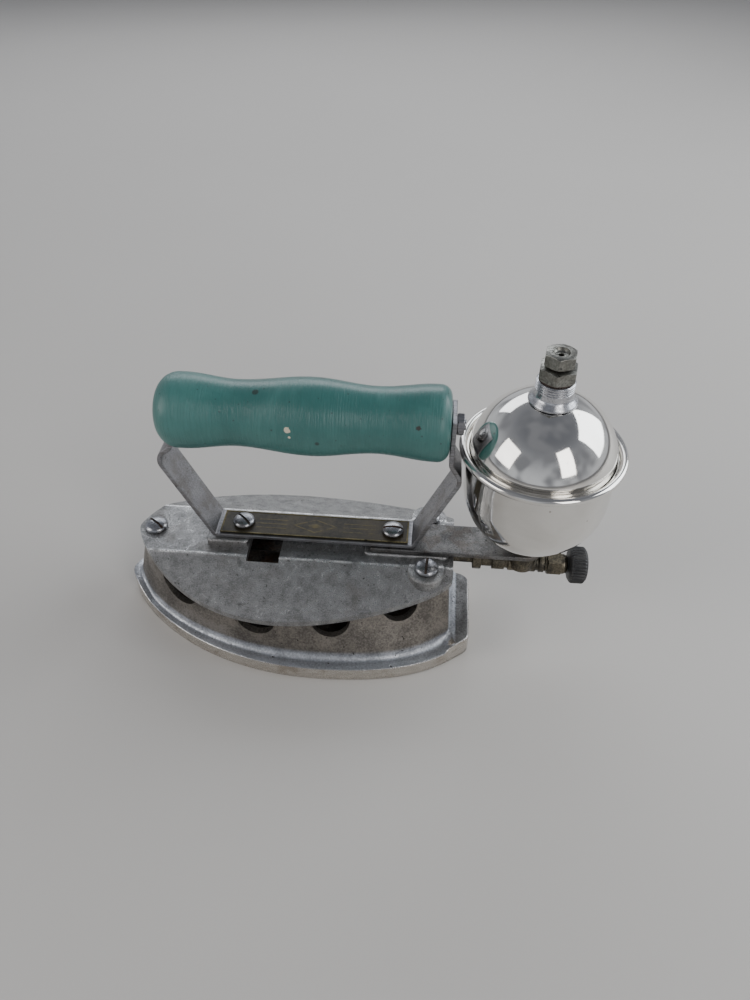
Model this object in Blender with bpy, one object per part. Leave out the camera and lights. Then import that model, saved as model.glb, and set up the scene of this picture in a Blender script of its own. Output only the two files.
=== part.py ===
"""Self-heating clothes iron with a fuel tank behind the handle.

Frame: origin at the middle of the sole's flat face, +X towards the heel and the tank, +Z up.
Sizes are written in millimetres times MM.
"""
import math

import bmesh
import bpy
from mathutils import Matrix, Vector

MM = 0.001

# ---- clearances ----
TOUCH = 0.3 * MM             # between pieces that rest on or screw into each other
RUN = 0.05 * MM              # radial clearance of a shaft that turns or slides in a hole

# ---- sole base ----
SOLE_LENGTH = 175.0 * MM
SOLE_WIDTH = 104.0 * MM
SOLE_WIDEST_X = 13.0 * MM
HEEL_WIDTH = 60.0 * MM
HEEL_NOTCH = (11.0 * MM, 7.0 * MM)   # the flange stops here on the far side; its corner radius
SOLE_NOSE_PULL = 9.0 * MM    # how blunt the nose is
SOLE_FORE_PULL = 64.0 * MM
SOLE_AFT_PULL = 45.0 * MM
BAND_HEIGHT = 8.0 * MM       # polished side of the sole
BAND_BEVEL = 0.8 * MM
HEEL_RISE = 3.5 * MM         # the heel flange stands this much above the ledge
HEEL_FLANGE = 10.0 * MM      # length of the heel flange
NOSE_RISE = 4.5 * MM         # the ledge climbs this much towards the nose
NOSE_RISE_X = (15.5 * MM - SOLE_LENGTH / 2, 3.5 * MM - SOLE_LENGTH / 2)   # where it starts and ends
LEDGE_WIDTH = 7.0 * MM       # ledge with its cove, along the sides
NOSE_LEDGE = 5.5 * MM
COVE_HIGH = 3.2 * MM
WALL_HEEL_WIDTH = 54.0 * MM
FLOOR_THICK = 11.0 * MM
WALL_THICK = 3.4 * MM

# ---- cover ----
COVER_NOSE_X = 10.5 * MM - SOLE_LENGTH / 2
COVER_HEEL_X = SOLE_LENGTH / 2 - HEEL_FLANGE
COVER_WIDTH = SOLE_WIDTH - 18.0 * MM
COVER_WIDEST_X = -3.6 * MM
COVER_HEEL_WIDTH = 42.0 * MM
COVER_NOSE_PULL = 6.6 * MM
COVER_FORE_PULL = 54.0 * MM
COVER_AFT_PULL = 29.0 * MM
COVER_TOP_Z = 44.0 * MM      # flat middle band
COVER_THICK = 3.0 * MM
RIDGE_HALF = 15.5 * MM       # half distance between the two ridge lines
ROOF_SLOPE = 0.5
COVER_OVERHANG = 1.8 * MM    # the cover's edge stands this far outside the wall

# ---- vents, four a side ----
VENT_X = (-52.0 * MM, -13.0 * MM, 22.0 * MM, 53.5 * MM)
VENT_RADIUS = (11.5 * MM, 9.2 * MM, 9.2 * MM, 8.6 * MM)
VENT_DEPTH = 0.95            # share of the radius that the half-moon reaches down

# ---- handle strap and what is clamped with it ----
STRAP_WIDTH = 17.0 * MM
STRAP_THICK = 2.0 * MM
STRAP_TOP_Z = COVER_TOP_Z + 6.2 * MM
STRAP_FOOT_X = (-37.0 * MM, 58.0 * MM)
STRAP_ELBOW = ((-57.0 * MM, STRAP_TOP_Z + 45.8 * MM), (77.6 * MM, STRAP_TOP_Z + 41.3 * MM))
STRAP_KNEE_Z = (STRAP_TOP_Z + 51.4 * MM, STRAP_TOP_Z + 49.8 * MM)   # where the strap turns straight up
ELBOW_RADIUS = 7.0 * MM
KNEE_RADIUS = 4.0 * MM
FOOT_RADIUS = 2.2 * MM
TAB_BEYOND_ROD = 6.5 * MM    # strap ends this far above the rod's axis
BRACKET_WIDTH = 19.0 * MM
BRACKET_THICK = 2.4 * MM
BRACKET_FRONT_X = 38.0 * MM
NAMEPLATE = (90.0 * MM, 14.6 * MM, 0.5 * MM)
STRAP_SCREW_X = (-24.2 * MM, 48.0 * MM)
LIGHT_SLOT = ((-20.5 * MM, -5.0 * MM), (-18.0 * MM, 6.0 * MM))   # along x, along y
PAD_FRONT_X = (-41.0 * MM, -20.8 * MM)
PAD_REAR_X = (35.0 * MM, 75.0 * MM)
PAD_WIDTH = 21.0 * MM

# ---- cover screws ----
NOSE_SCREW_X = COVER_NOSE_X + 8.0 * MM
HEEL_SCREW = (COVER_HEEL_X - 12.5 * MM, 17.0 * MM)
HEEL_BOSS_RADIUS = 9.0 * MM
HEEL_BOSS_TOP_Z = COVER_TOP_Z + 0.6 * MM
BOSS_SINK = 0.6 * MM         # depth of the boss's foot below the roof
POST_RADIUS = 5.0 * MM       # post in the base that takes a cover screw
SCREW_SHANK = 2.2 * MM
COVER_SCREW_HEAD = (5.6 * MM, 3.2 * MM)           # radius, height
STRAP_SCREW_HEAD = (5.1 * MM, 2.8 * MM)
BURNER_SCREW_HEAD = (4.6 * MM, 2.6 * MM)
COVER_SCREW_LONG = 11.5 * MM
STRAP_SCREW_LONG = 9.0 * MM
HEAD_EDGE = 0.7 * MM         # upright edge under the rounded part
SCREW_SLOT = (1.1 * MM, 1.3 * MM)                 # width, depth

# ---- grip ----
GRIP_AXIS_Z = STRAP_TOP_Z + 66.3 * MM
GRIP_X = (-53.0 * MM, 71.2 * MM)
GRIP_END_RADIUS = 16.3 * MM
GRIP_WAIST_RADIUS = 14.2 * MM
GRIP_MIDDLE_RADIUS = 16.7 * MM
GRIP_STATIONS = (0.09, 0.275, 0.53, 0.755, 0.95)  # end, waist, middle, waist, end along the grip
GRIP_ROUND = (9.0 * MM, 5.0 * MM)
ROD_RADIUS = 2.4 * MM
LEFT_TAB_X = -48.8 * MM
GRIP_MOUTH = 1.6 * MM        # the slot widens towards the bent strap
NUT_FLATS = 8.6 * MM
NUT_THICK = 3.0 * MM

# ---- tank ----
TANK_RADIUS = 31.9 * MM
RIM_RADIUS = TANK_RADIUS + 3.5 * MM
TANK_X = GRIP_X[1] + 4.2 * MM + RIM_RADIUS
BOWL_CENTRE_Z = STRAP_TOP_Z + 3.4 * MM + TANK_RADIUS   # centre of the half-round bottom
RIM_Z = BOWL_CENTRE_Z + 21.5 * MM
RIM_BEAD_RADIUS = 1.7 * MM
SHEET = 1.0 * MM
DOME_FOOT_RADIUS = TANK_RADIUS - 0.9 * MM
DOME_FOOT_Z = RIM_Z + 1.4 * MM
NECK_FOOT_Z = DOME_FOOT_Z + 22.4 * MM
NECK_RADIUS = 7.8 * MM
NECK_FOOT_RADIUS = NECK_RADIUS + 2.2 * MM
NECK_TOP_Z = NECK_FOOT_Z + 10.2 * MM
PLUG_FLATS = 14.0 * MM
PLUG_HEX_HIGH = 5.4 * MM
HEX_TURN = math.radians(-10.0)
PLUG_SHANK_RADIUS = 5.0 * MM
PLUG_SHANK_LONG = 8.0 * MM
CAP_FLATS = 11.6 * MM
CAP_HEX_HIGH = 5.2 * MM
CAP_SHANK_RADIUS = 2.6 * MM
CAP_SHANK_LONG = 3.0 * MM
GASKET_THICK = 0.8 * MM
AIR_HOLE_RADIUS = 1.15 * MM
PLUNGER_RADIUS = 1.6 * MM
SPRING_WIRE = 0.3 * MM
SPRING_TURNS = 4

# ---- valve under the tank ----
VALVE_Z = COVER_TOP_Z - 8.5 * MM
TUBE_RADIUS = 2.1 * MM
TUBE_BORE = 1.0 * MM
GEN_NUT_X = (TANK_X - 23.6 * MM, TANK_X - 19.4 * MM)
GEN_NUT_FLATS = 9.4 * MM
VALVE_NECK_RADIUS = 3.3 * MM
VALVE_BODY_X = (TANK_X - 14.2 * MM, TANK_X + 10.8 * MM)
VALVE_BODY_RADIUS = 4.7 * MM
GLAND_X = (TANK_X + 12.2 * MM, TANK_X + 22.0 * MM)
GLAND_FLATS = 10.4 * MM
STEM_RADIUS = 1.5 * MM
STEM_TIP_X = TANK_X - 7.8 * MM
KNOB_X = (TANK_X + 22.5 * MM, TANK_X + 31.0 * MM)
KNOB_RADIUS = 9.0 * MM
KNOB_RIBS = 36
KNOB_RIB_DEPTH = 0.45 * MM
SPUD_RADIUS = 4.2 * MM
SPUD_SHOULDER = 7.5 * MM     # radius of the part between the bracket and the bowl

# ---- burner inside the base ----
BURNER_RADIUS = 6.5 * MM
BURNER_WALL = 1.5 * MM
BURNER_X = (-45.0 * MM, 30.0 * MM)
RISER_HALF = BURNER_RADIUS - 0.8 * MM            # half width of the square riser at the tube's rear end
BURNER_Z = FLOOR_THICK + BURNER_RADIUS + 4.5 * MM
BURNER_SLOT = (1.2 * MM, 9.4 * MM, 8.0 * MM)      # width, length, spacing
BURNER_SCREW_X = (-50.0 * MM, 41.0 * MM)
EAR_HALF = 5.2 * MM
EAR_THICK = 2.4 * MM
EAR_LIFT = 0.6 * MM          # ears stand this far above the lowest line of the tube
JET_X = (63.5 * MM, 70.5 * MM)
JET_RADIUS = 3.2 * MM
MIXER_RADIUS = 3.4 * MM
MIXER_X = (31.5 * MM, 62.0 * MM)
TUBE_HOLE_RADIUS = 4.0 * MM  # in the heel wall


# ---------------------------------------------------------------- small tools
def clear_scene():
    for obj in list(bpy.data.objects):
        bpy.data.objects.remove(obj, do_unlink=True)


def material(name, colour, roughness, metallic):
    mat = bpy.data.materials.new(name)
    mat.use_nodes = True
    shader = mat.node_tree.nodes["Principled BSDF"]
    shader.inputs["Base Color"].default_value = (*colour, 1.0)
    shader.inputs["Roughness"].default_value = roughness
    shader.inputs["Metallic"].default_value = metallic
    return mat


IRON = ((0.42, 0.42, 0.43), 0.42, 1.0)
STEEL = ((0.50, 0.49, 0.50), 0.32, 1.0)
NICKEL = ((0.80, 0.79, 0.77), 0.10, 1.0)
BRASS_DARK = ((0.22, 0.19, 0.13), 0.45, 1.0)
GREEN_PAINT = ((0.05, 0.22, 0.19), 0.35, 0.0)
BLACK = ((0.02, 0.02, 0.022), 0.45, 0.0)
FIBRE = ((0.30, 0.16, 0.10), 0.8, 0.0)


def add_object(name, bm, finish, location=(0.0, 0.0, 0.0)):
    """Turn a bmesh into a scene object, with outward faces and its own material."""
    bmesh.ops.remove_doubles(bm, verts=bm.verts, dist=1e-7)
    bmesh.ops.recalc_face_normals(bm, faces=bm.faces)
    mesh = bpy.data.meshes.new(name)
    bm.to_mesh(mesh)
    bm.free()
    mesh.shade_smooth()
    mesh.set_sharp_from_angle(angle=math.radians(35.0))
    obj = bpy.data.objects.new(name, mesh)
    obj.location = location
    bpy.context.scene.collection.objects.link(obj)
    obj.data.materials.append(material(name, *finish))
    return obj


def cutter(bm, location=(0.0, 0.0, 0.0)):
    """A helper solid that is hidden from the result."""
    obj = add_object("cutter", bm, IRON, location)
    obj.hide_render = True
    obj.display_type = "WIRE"
    return obj


def combine(obj, tool, operation):
    mod = obj.modifiers.new(operation.lower(), "BOOLEAN")
    mod.operation = operation
    mod.solver = "EXACT"
    mod.object = tool


def cut(obj, *tools):
    for tool in tools:
        combine(obj, tool, "DIFFERENCE")


def weld(obj, *tools):
    for tool in tools:
        combine(obj, tool, "UNION")


def turned(profile, axis="Z", steps=32):
    """Spin a closed (radius, height) outline around an axis through the origin."""
    bm = bmesh.new()
    verts = [bm.verts.new((r, 0.0, h)) for r, h in profile]
    count = len(verts)
    for i in range(count):
        if profile[i][0] < 1e-9 and profile[(i + 1) % count][0] < 1e-9:
            continue
        bm.edges.new((verts[i], verts[(i + 1) % count]))
    bmesh.ops.spin(bm, geom=bm.verts[:] + bm.edges[:], cent=(0, 0, 0), axis=(0, 0, 1),
                   angle=math.tau, steps=steps, use_merge=True)
    bmesh.ops.remove_doubles(bm, verts=bm.verts, dist=1e-7)
    if axis == "X":
        # half a step of turn keeps the corners off the middle plane, where upright pieces have theirs
        bmesh.ops.rotate(bm, verts=bm.verts, cent=(0, 0, 0),
                         matrix=Matrix.Rotation(math.radians(90.0), 3, "Y")
                         @ Matrix.Rotation(math.pi / steps, 3, "Z"))
    return bm


def rod(radius, low, high, axis="Z", steps=24):
    return turned([(0.0, low), (radius, low), (radius, high), (0.0, high)], axis, steps)


def pipe(inner, outer, low, high, axis="Z", steps=24):
    return turned([(inner, low), (outer, low), (outer, high), (inner, high)], axis, steps)


def hexagon(flats, low, high, axis="Z", turn=0.0):
    """A solid hexagonal prism with its sharp ends taken off by a small bevel."""
    bm = bmesh.new()
    bmesh.ops.create_cone(bm, cap_ends=True, segments=6, radius1=flats / math.sqrt(3.0),
                          radius2=flats / math.sqrt(3.0), depth=high - low,
                          matrix=Matrix.Translation((0, 0, (low + high) / 2)) @ Matrix.Rotation(turn, 4, "Z"))
    ends = [e for e in bm.edges if abs(e.verts[0].co.z - e.verts[1].co.z) < 1e-7]
    bmesh.ops.bevel(bm, geom=ends, offset=0.4 * MM, segments=1, affect="EDGES", profile=0.5)
    if axis == "X":
        bmesh.ops.rotate(bm, verts=bm.verts, cent=(0, 0, 0),
                         matrix=Matrix.Rotation(math.radians(90.0), 3, "Y"))
    return bm


def block(x, y, z):
    """A box from three (low, high) pairs."""
    bm = bmesh.new()
    size = Vector((x[1] - x[0], y[1] - y[0], z[1] - z[0]))
    middle = Vector((sum(x) / 2, sum(y) / 2, sum(z) / 2))
    bmesh.ops.create_cube(bm, size=1.0, matrix=Matrix.Translation(middle) @ Matrix.Diagonal((*size, 1.0)))
    return bm


def loft(rings):
    """Bridge closed rings that all have the same number of points, and cap both ends."""
    bm = bmesh.new()
    rows = [[bm.verts.new(p) for p in ring] for ring in rings]
    count = len(rings[0])
    for low, high in zip(rows, rows[1:]):
        for i in range(count):
            j = (i + 1) % count
            bm.faces.new((low[i], low[j], high[j], high[i]))
    bm.faces.new(reversed(rows[0]))
    bm.faces.new(rows[-1])
    return bm


# ---------------------------------------------------------------- boat-shaped outlines
def bezier(a, b, c, d, steps):
    points = []
    for i in range(steps):
        t = i / steps
        s = 1.0 - t
        points.append(tuple(s**3 * a[k] + 3 * s * s * t * b[k] + 3 * s * t * t * c[k] + t**3 * d[k]
                            for k in (0, 1)))
    return points


def boat(nose_x, heel_x, wide_x, width, heel_width, nose_pull, fore_pull, aft_pull, corner):
    """Closed plan outline: pointed nose, full middle, straight heel with rounded corners."""
    half = width / 2
    heel = heel_width / 2
    aft_end = (heel_x - corner, heel + 0.75 * corner)
    side = bezier((nose_x, 0.0), (nose_x, nose_pull), (wide_x - fore_pull, half), (wide_x, half), 14)
    side += bezier((wide_x, half), (wide_x + aft_pull, half),
                   (aft_end[0] - 10.0 * MM, aft_end[1] + 7.5 * MM), aft_end, 10)
    side += bezier(aft_end, (heel_x, heel), (heel_x, heel), (heel_x, heel - corner), 4)
    side += [(heel_x, heel - corner), (heel_x, 0.3 * heel)]
    other = [(x, -y) for x, y in reversed(side[1:])]
    return side + other


def between(first, second, share):
    """Outline part of the way from one outline to another."""
    return [(a[0] + (b[0] - a[0]) * share, a[1] + (b[1] - a[1]) * share) for a, b in zip(first, second)]


def eased(share):
    """Smooth step from 0 to 1."""
    share = min(max(share, 0.0), 1.0)
    return share * share * (3.0 - 2.0 * share)


def at_height(points, height):
    """Lift a plan outline to a height, which may be a number or a function of x and y."""
    if callable(height):
        return [(x, y, height(x, y)) for x, y in points]
    return [(x, y, height) for x, y in points]


def roof(x, y):
    """Top surface of the cover: a flat middle band that falls away outside the ridge lines."""
    return COVER_TOP_Z - ROOF_SLOPE * max(abs(y) - RIDGE_HALF, 0.0)


def cover_plan(inside=0.0):
    """Outline of the cover, or of a line that runs inside it by the given distance."""
    return boat(COVER_NOSE_X + inside, COVER_HEEL_X - inside, COVER_WIDEST_X, COVER_WIDTH - 2 * inside,
                COVER_HEEL_WIDTH - 2 * inside, COVER_NOSE_PULL, COVER_FORE_PULL, COVER_AFT_PULL, 3.0 * MM)


def sole_plan():
    return boat(-SOLE_LENGTH / 2, SOLE_LENGTH / 2, SOLE_WIDEST_X, SOLE_WIDTH, HEEL_WIDTH,
                SOLE_NOSE_PULL, SOLE_FORE_PULL, SOLE_AFT_PULL, 5.0 * MM)


def wall_foot_plan(inside=0.0):
    """Outline of the wall where it leaves the ledge, or of a line inside it."""
    return boat(-SOLE_LENGTH / 2 + NOSE_LEDGE + inside, SOLE_LENGTH / 2 - HEEL_FLANGE - inside, SOLE_WIDEST_X,
                SOLE_WIDTH - 2 * (LEDGE_WIDTH + inside), WALL_HEEL_WIDTH - 2 * inside,
                SOLE_NOSE_PULL, SOLE_FORE_PULL, SOLE_AFT_PULL, 2.0 * MM)


def pan_screw(name, x, y, under_head, length, slot_turn, head):
    """Slotted round-head screw standing upright."""
    radius, high = head
    top = under_head + high
    dome = []
    for i in range(7):
        a = math.radians(90.0 * i / 6)
        dome.append((radius * math.cos(a), under_head + HEAD_EDGE + (high - HEAD_EDGE) * math.sin(a)))
    dome[-1] = (0.0, top)
    outline = [(0.0, under_head - length), (SCREW_SHANK, under_head - length),
               (SCREW_SHANK, under_head), (radius, under_head)] + dome
    screw = add_object(name, turned(outline, steps=24), STEEL, (x, y, 0.0))
    wide, deep = SCREW_SLOT
    slot = cutter(block((-radius - MM, radius + MM), (-wide / 2, wide / 2),
                        (top - deep, top + MM)), (x, y, 0.0))
    slot.rotation_euler.z = slot_turn
    cut(screw, slot)
    return screw


# ---------------------------------------------------------------- base
def make_base():
    sole = sole_plan()
    foot = wall_foot_plan()
    wall_top = cover_plan(COVER_OVERHANG)
    heel_edge = SOLE_LENGTH / 2 - HEEL_FLANGE

    def ledge_z(x, y):
        return (BAND_HEIGHT + HEEL_RISE * eased((x - heel_edge + 2.0 * MM) / (4.0 * MM))
                + NOSE_RISE * eased((x - NOSE_RISE_X[0]) / (NOSE_RISE_X[1] - NOSE_RISE_X[0])))

    def wall_top_z(x, y):
        return roof(x, y) - COVER_THICK - TOUCH

    def raised(amount):
        return lambda x, y: ledge_z(x, y) + amount

    def half_way(x, y):
        return (ledge_z(x, y) + COVE_HIGH + wall_top_z(x, y)) / 2

    cavity_top = cover_plan(COVER_OVERHANG + WALL_THICK)
    cavity_foot = wall_foot_plan(WALL_THICK + MM)
    rings = [
        at_height(between(sole, foot, 0.12), 0.0),
        at_height(sole, BAND_BEVEL),
        at_height(sole, raised(-BAND_BEVEL)),
        at_height(between(sole, foot, 0.1), ledge_z),
        at_height(between(sole, foot, 0.56), ledge_z),
        at_height(between(sole, foot, 0.8), raised(0.22 * COVE_HIGH)),
        at_height(between(sole, foot, 0.94), raised(0.6 * COVE_HIGH)),
        at_height(foot, raised(COVE_HIGH)),
        at_height(between(foot, wall_top, 0.5), half_way),
        at_height(wall_top, wall_top_z),
        at_height(cavity_top, wall_top_z),
        at_height(cavity_foot, FLOOR_THICK + 3.0 * MM),
        at_height(between(cavity_foot, cover_plan(20.0 * MM), 0.12), FLOOR_THICK),
    ]
    base = add_object("sole_base", loft(rings), IRON)

    # on the far side the heel flange is cut short, with a rounded corner
    far, corner = HEEL_NOTCH
    inner_x = heel_edge + 0.9 * MM
    outer_x = SOLE_LENGTH / 2 + 5.0 * MM
    notch = [(outer_x, HEEL_WIDTH), (inner_x, HEEL_WIDTH), (inner_x, far + corner / 4)]
    for i in range(7):
        a = math.radians(90.0 - 15.0 * i)
        notch.append((SOLE_LENGTH / 2 - corner * (1.0 - math.cos(a)), far - corner * (1.0 - math.sin(a))))
    notch.append((outer_x, far - corner))
    cut(base, cutter(loft([at_height(notch, -MM), at_height(notch, BAND_HEIGHT + HEEL_RISE + 6.0 * MM)])))

    for x, radius in zip(VENT_X, VENT_RADIUS):
        for side in (-1.0, 1.0):
            place, heading = on_side(wall_top, x, side)
            z = wall_top_z(*place)
            bm = rod(radius, -8.0 * MM, 8.0 * MM, "X", 28)
            bmesh.ops.scale(bm, verts=bm.verts, vec=(1.0, 1.0, VENT_DEPTH))
            tool = cutter(bm, (place[0], place[1], z))
            tool.rotation_euler.z = heading
            cut(base, tool)

    # posts that take the cover screws, and the hole that lets the mixing tube in
    posts = [(NOSE_SCREW_X, 0.0)] + [(HEEL_SCREW[0], side * HEEL_SCREW[1]) for side in (-1, 1)]
    for x, y in posts:
        top = roof(x, abs(y) + POST_RADIUS) - COVER_THICK - TOUCH
        weld(base, cutter(rod(POST_RADIUS, FLOOR_THICK - MM, top, steps=20), (x, y, 0.0)))
        hole = cutter(rod(SCREW_SHANK + TOUCH, top - 12.0 * MM, top + 5.0 * MM, steps=20), (x, y, 0.0))
        cut(base, hole)
    ear_low = BURNER_Z - BURNER_RADIUS + EAR_LIFT
    for x in BURNER_SCREW_X:
        weld(base, cutter(rod(EAR_HALF - 0.5 * MM, FLOOR_THICK - MM, ear_low - TOUCH, steps=20),
                          (x, 0.0, 0.0)))
        cut(base, cutter(rod(SCREW_SHANK + TOUCH, ear_low - 10.0 * MM, ear_low, steps=16), (x, 0.0, 0.0)))
    cut(base, cutter(rod(TUBE_HOLE_RADIUS, COVER_HEEL_X - 12.0 * MM, COVER_HEEL_X + 5.0 * MM, "X", 28),
                     (0.0, 0.0, VALVE_Z)))
    return base


def on_side(outline, x, side):
    """Point of an outline at x on one side, and the direction that faces straight out of it."""
    best = None
    for i in range(len(outline)):
        a = outline[i - 1]
        b = outline[i]
        if (a[0] - x) * (b[0] - x) <= 0.0 and a[1] * side > 0.0 and b[1] * side > 0.0 and a[0] != b[0]:
            t = (x - a[0]) / (b[0] - a[0])
            best = ((x, a[1] + (b[1] - a[1]) * t), (b[0] - a[0], b[1] - a[1]))
    place, along = best
    return place, math.atan2(-along[0], along[1])


# ---------------------------------------------------------------- cover
def make_cover():
    plan = cover_plan()
    reach = COVER_WIDTH / 2 + 5.0 * MM
    top = [(-reach, roof(0, reach)), (-RIDGE_HALF, COVER_TOP_Z), (RIDGE_HALF, COVER_TOP_Z),
           (reach, roof(0, reach))]
    section = top + [(y, z - COVER_THICK) for y, z in reversed(top)]
    ends = (COVER_NOSE_X - 5.0 * MM, COVER_HEEL_X + 5.0 * MM)
    sheet = loft([[(x, y, z) for y, z in section] for x in ends])
    cover = add_object("top_cover", sheet, IRON)
    prism = loft([at_height(plan, 0.0), at_height(plan, 80.0 * MM)])
    combine(cover, cutter(prism), "INTERSECT")

    strap_bottom = STRAP_TOP_Z - STRAP_THICK
    pad_low = COVER_TOP_Z - COVER_THICK + 0.5 * MM
    half = PAD_WIDTH / 2
    weld(cover, cutter(block(PAD_FRONT_X, (-half, half), (pad_low, strap_bottom - TOUCH))))
    bracket_bottom = strap_bottom - TOUCH - BRACKET_THICK
    weld(cover, cutter(block(PAD_REAR_X, (-half, half), (pad_low, bracket_bottom - TOUCH))))
    for side in (-1, 1):
        ring = [(HEEL_SCREW[0] + HEEL_BOSS_RADIUS * math.cos(math.tau * i / 32),
                 side * HEEL_SCREW[1] + HEEL_BOSS_RADIUS * math.sin(math.tau * i / 32)) for i in range(32)]
        weld(cover, cutter(loft([at_height(ring, lambda x, y: roof(x, y) - BOSS_SINK),
                                 at_height(ring, HEEL_BOSS_TOP_Z)])))
        cut(cover, screw_hole(HEEL_SCREW[0], side * HEEL_SCREW[1]))
    cut(cover, screw_hole(NOSE_SCREW_X, 0.0))
    for x in STRAP_SCREW_X:
        cut(cover, screw_hole(x, 0.0))
    cut(cover, cutter(block(*LIGHT_SLOT, (30.0 * MM, 60.0 * MM))))
    return cover


def screw_hole(x, y):
    return cutter(rod(SCREW_SHANK + TOUCH, 25.0 * MM, 60.0 * MM, steps=20), (x, y, 0.0))


# ---------------------------------------------------------------- strap, plate, bracket, handle
def rounded_path(corners, steps=6):
    """Points of a bent centre line: (x, z, radius) corners joined by straight runs and arcs."""
    points = [Vector(corners[0][:2])]
    for before, corner, after in zip(corners, corners[1:], corners[2:]):
        p = Vector(corner[:2])
        u = (Vector(before[:2]) - p).normalized()
        v = (Vector(after[:2]) - p).normalized()
        half = u.angle(v) / 2
        reach = corner[2] / math.tan(half)
        centre = p + (u + v).normalized() * (corner[2] / math.sin(half))
        a = p + u * reach - centre
        b = p + v * reach - centre
        for i in range(steps + 1):
            t = i / steps
            points.append(centre + a.lerp(b, t).normalized() * corner[2])
    points.append(Vector(corners[-1][:2]))
    return points


def ribbon(path, thick, width):
    """A flat strip that follows a path in the XZ plane."""
    left = []
    right = []
    for i, p in enumerate(path):
        before = (p - path[i - 1]).normalized() if i else (path[1] - p).normalized()
        after = (path[i + 1] - p).normalized() if i + 1 < len(path) else before
        normal = Vector((-(before.y + after.y), before.x + after.x)).normalized()
        spread = normal.dot(Vector((-before.y, before.x)))
        left.append(p + normal * (thick / 2 / spread))
        right.append(p - normal * (thick / 2 / spread))
    ring = left + right[::-1]
    return loft([[(p.x, y, p.y) for p in ring] for y in (-width / 2, width / 2)])


def make_strap():
    z = STRAP_TOP_Z - STRAP_THICK / 2
    right_tab_x = GRIP_X[1] + TOUCH + STRAP_THICK / 2
    tab_top = GRIP_AXIS_Z + TAB_BEYOND_ROD
    elbow_l, elbow_r = STRAP_ELBOW
    corners = [(LEFT_TAB_X, tab_top),
               (LEFT_TAB_X, STRAP_KNEE_Z[0], KNEE_RADIUS),
               (*elbow_l, ELBOW_RADIUS),
               (STRAP_FOOT_X[0], z, FOOT_RADIUS),
               (STRAP_FOOT_X[1], z, FOOT_RADIUS),
               (*elbow_r, ELBOW_RADIUS),
               (right_tab_x, STRAP_KNEE_Z[1], KNEE_RADIUS),
               (right_tab_x, tab_top)]
    strap = add_object("handle_strap", ribbon(rounded_path(corners), STRAP_THICK, STRAP_WIDTH), STEEL)
    holes = [cutter(rod(SCREW_SHANK + TOUCH, z - 5.0 * MM, z + 5.0 * MM, steps=20), (x, 0.0, 0.0))
             for x in STRAP_SCREW_X]
    holes.append(cutter(rod(ROD_RADIUS + TOUCH, LEFT_TAB_X - 5.0 * MM, right_tab_x + 5.0 * MM, "X", 20),
                        (0.0, 0.0, GRIP_AXIS_Z)))
    cut(strap, *holes)
    return strap


def make_nameplate():
    length, width, thick = NAMEPLATE
    middle = sum(STRAP_FOOT_X) / 2
    low = STRAP_TOP_Z + TOUCH
    plate = add_object("nameplate", block((middle - length / 2, middle + length / 2), (-width / 2, width / 2),
                                          (low, low + thick)), BRASS_DARK)
    cut(plate, *[cutter(rod(SCREW_SHANK + TOUCH, low - 2 * MM, low + 2 * MM, steps=20), (x, 0.0, 0.0))
                 for x in STRAP_SCREW_X])
    return low + thick


def make_bracket():
    high = STRAP_TOP_Z - STRAP_THICK - TOUCH
    low = high - BRACKET_THICK
    half = BRACKET_WIDTH / 2
    outline = [(BRACKET_FRONT_X, -half), (TANK_X, -half)]
    for i in range(1, 12):
        a = -math.pi / 2 + math.pi * i / 12
        outline.append((TANK_X + half * math.cos(a), half * math.sin(a)))
    outline += [(TANK_X, half), (BRACKET_FRONT_X, half)]
    bar = add_object("tank_bracket", loft([at_height(outline, low), at_height(outline, high)]), IRON)
    holes = [cutter(rod(SPUD_RADIUS + TOUCH, low - MM, high + MM, steps=24), (TANK_X, 0.0, 0.0)),
             cutter(rod(SCREW_SHANK + TOUCH, low - MM, high + MM, steps=20), (STRAP_SCREW_X[1], 0.0, 0.0))]
    cut(bar, *holes)
    return low, high


def grip_radius(share):
    """Radius along the grip, eased between its two ends, two waists and middle."""
    values = (GRIP_END_RADIUS, GRIP_WAIST_RADIUS, GRIP_MIDDLE_RADIUS, GRIP_WAIST_RADIUS, GRIP_END_RADIUS)
    if share <= GRIP_STATIONS[0]:
        return values[0]
    for (a, b), (u, v) in zip(zip(GRIP_STATIONS, GRIP_STATIONS[1:]), zip(values, values[1:])):
        if share <= b:
            t = (share - a) / (b - a)
            return u + (v - u) * (1.0 - math.cos(math.pi * t)) / 2
    return values[-1]


def grip_profile(steps=20):
    x0, x1 = GRIP_X
    length = x1 - x0
    points = []
    for i in range(steps + 1):
        share = (1.0 - math.cos(math.pi * i / steps)) / 2
        x = x0 + length * share
        radius = grip_radius(share)
        for end, near in ((GRIP_ROUND[0], x - x0), (GRIP_ROUND[1], x1 - x)):
            if near < end:
                drop = end - math.sqrt(max(end * end - (end - near) ** 2, 0.0))
                radius = min(radius, grip_radius(share) - drop)
        points.append((radius, x))
    return points


def make_grip():
    bore = ROD_RADIUS + TOUCH
    profile = [(bore, GRIP_X[0])] + grip_profile() + [(bore, GRIP_X[1])]
    grip = add_object("handle_grip", turned(profile, "X", 28), GREEN_PAINT, (0.0, 0.0, GRIP_AXIS_Z))
    slot_half = STRAP_THICK / 2 + TOUCH
    width = STRAP_WIDTH / 2 + TOUCH
    below = GRIP_AXIS_Z - 25.0 * MM
    mouth = STRAP_KNEE_Z[0] + KNEE_RADIUS
    cut(grip, cutter(block((LEFT_TAB_X - slot_half, LEFT_TAB_X + slot_half), (-width, width),
                           (below, GRIP_AXIS_Z + TAB_BEYOND_ROD + TOUCH))),
        cutter(block((LEFT_TAB_X - slot_half - GRIP_MOUTH, LEFT_TAB_X), (-width, width), (below, mouth))))
    return grip


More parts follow.
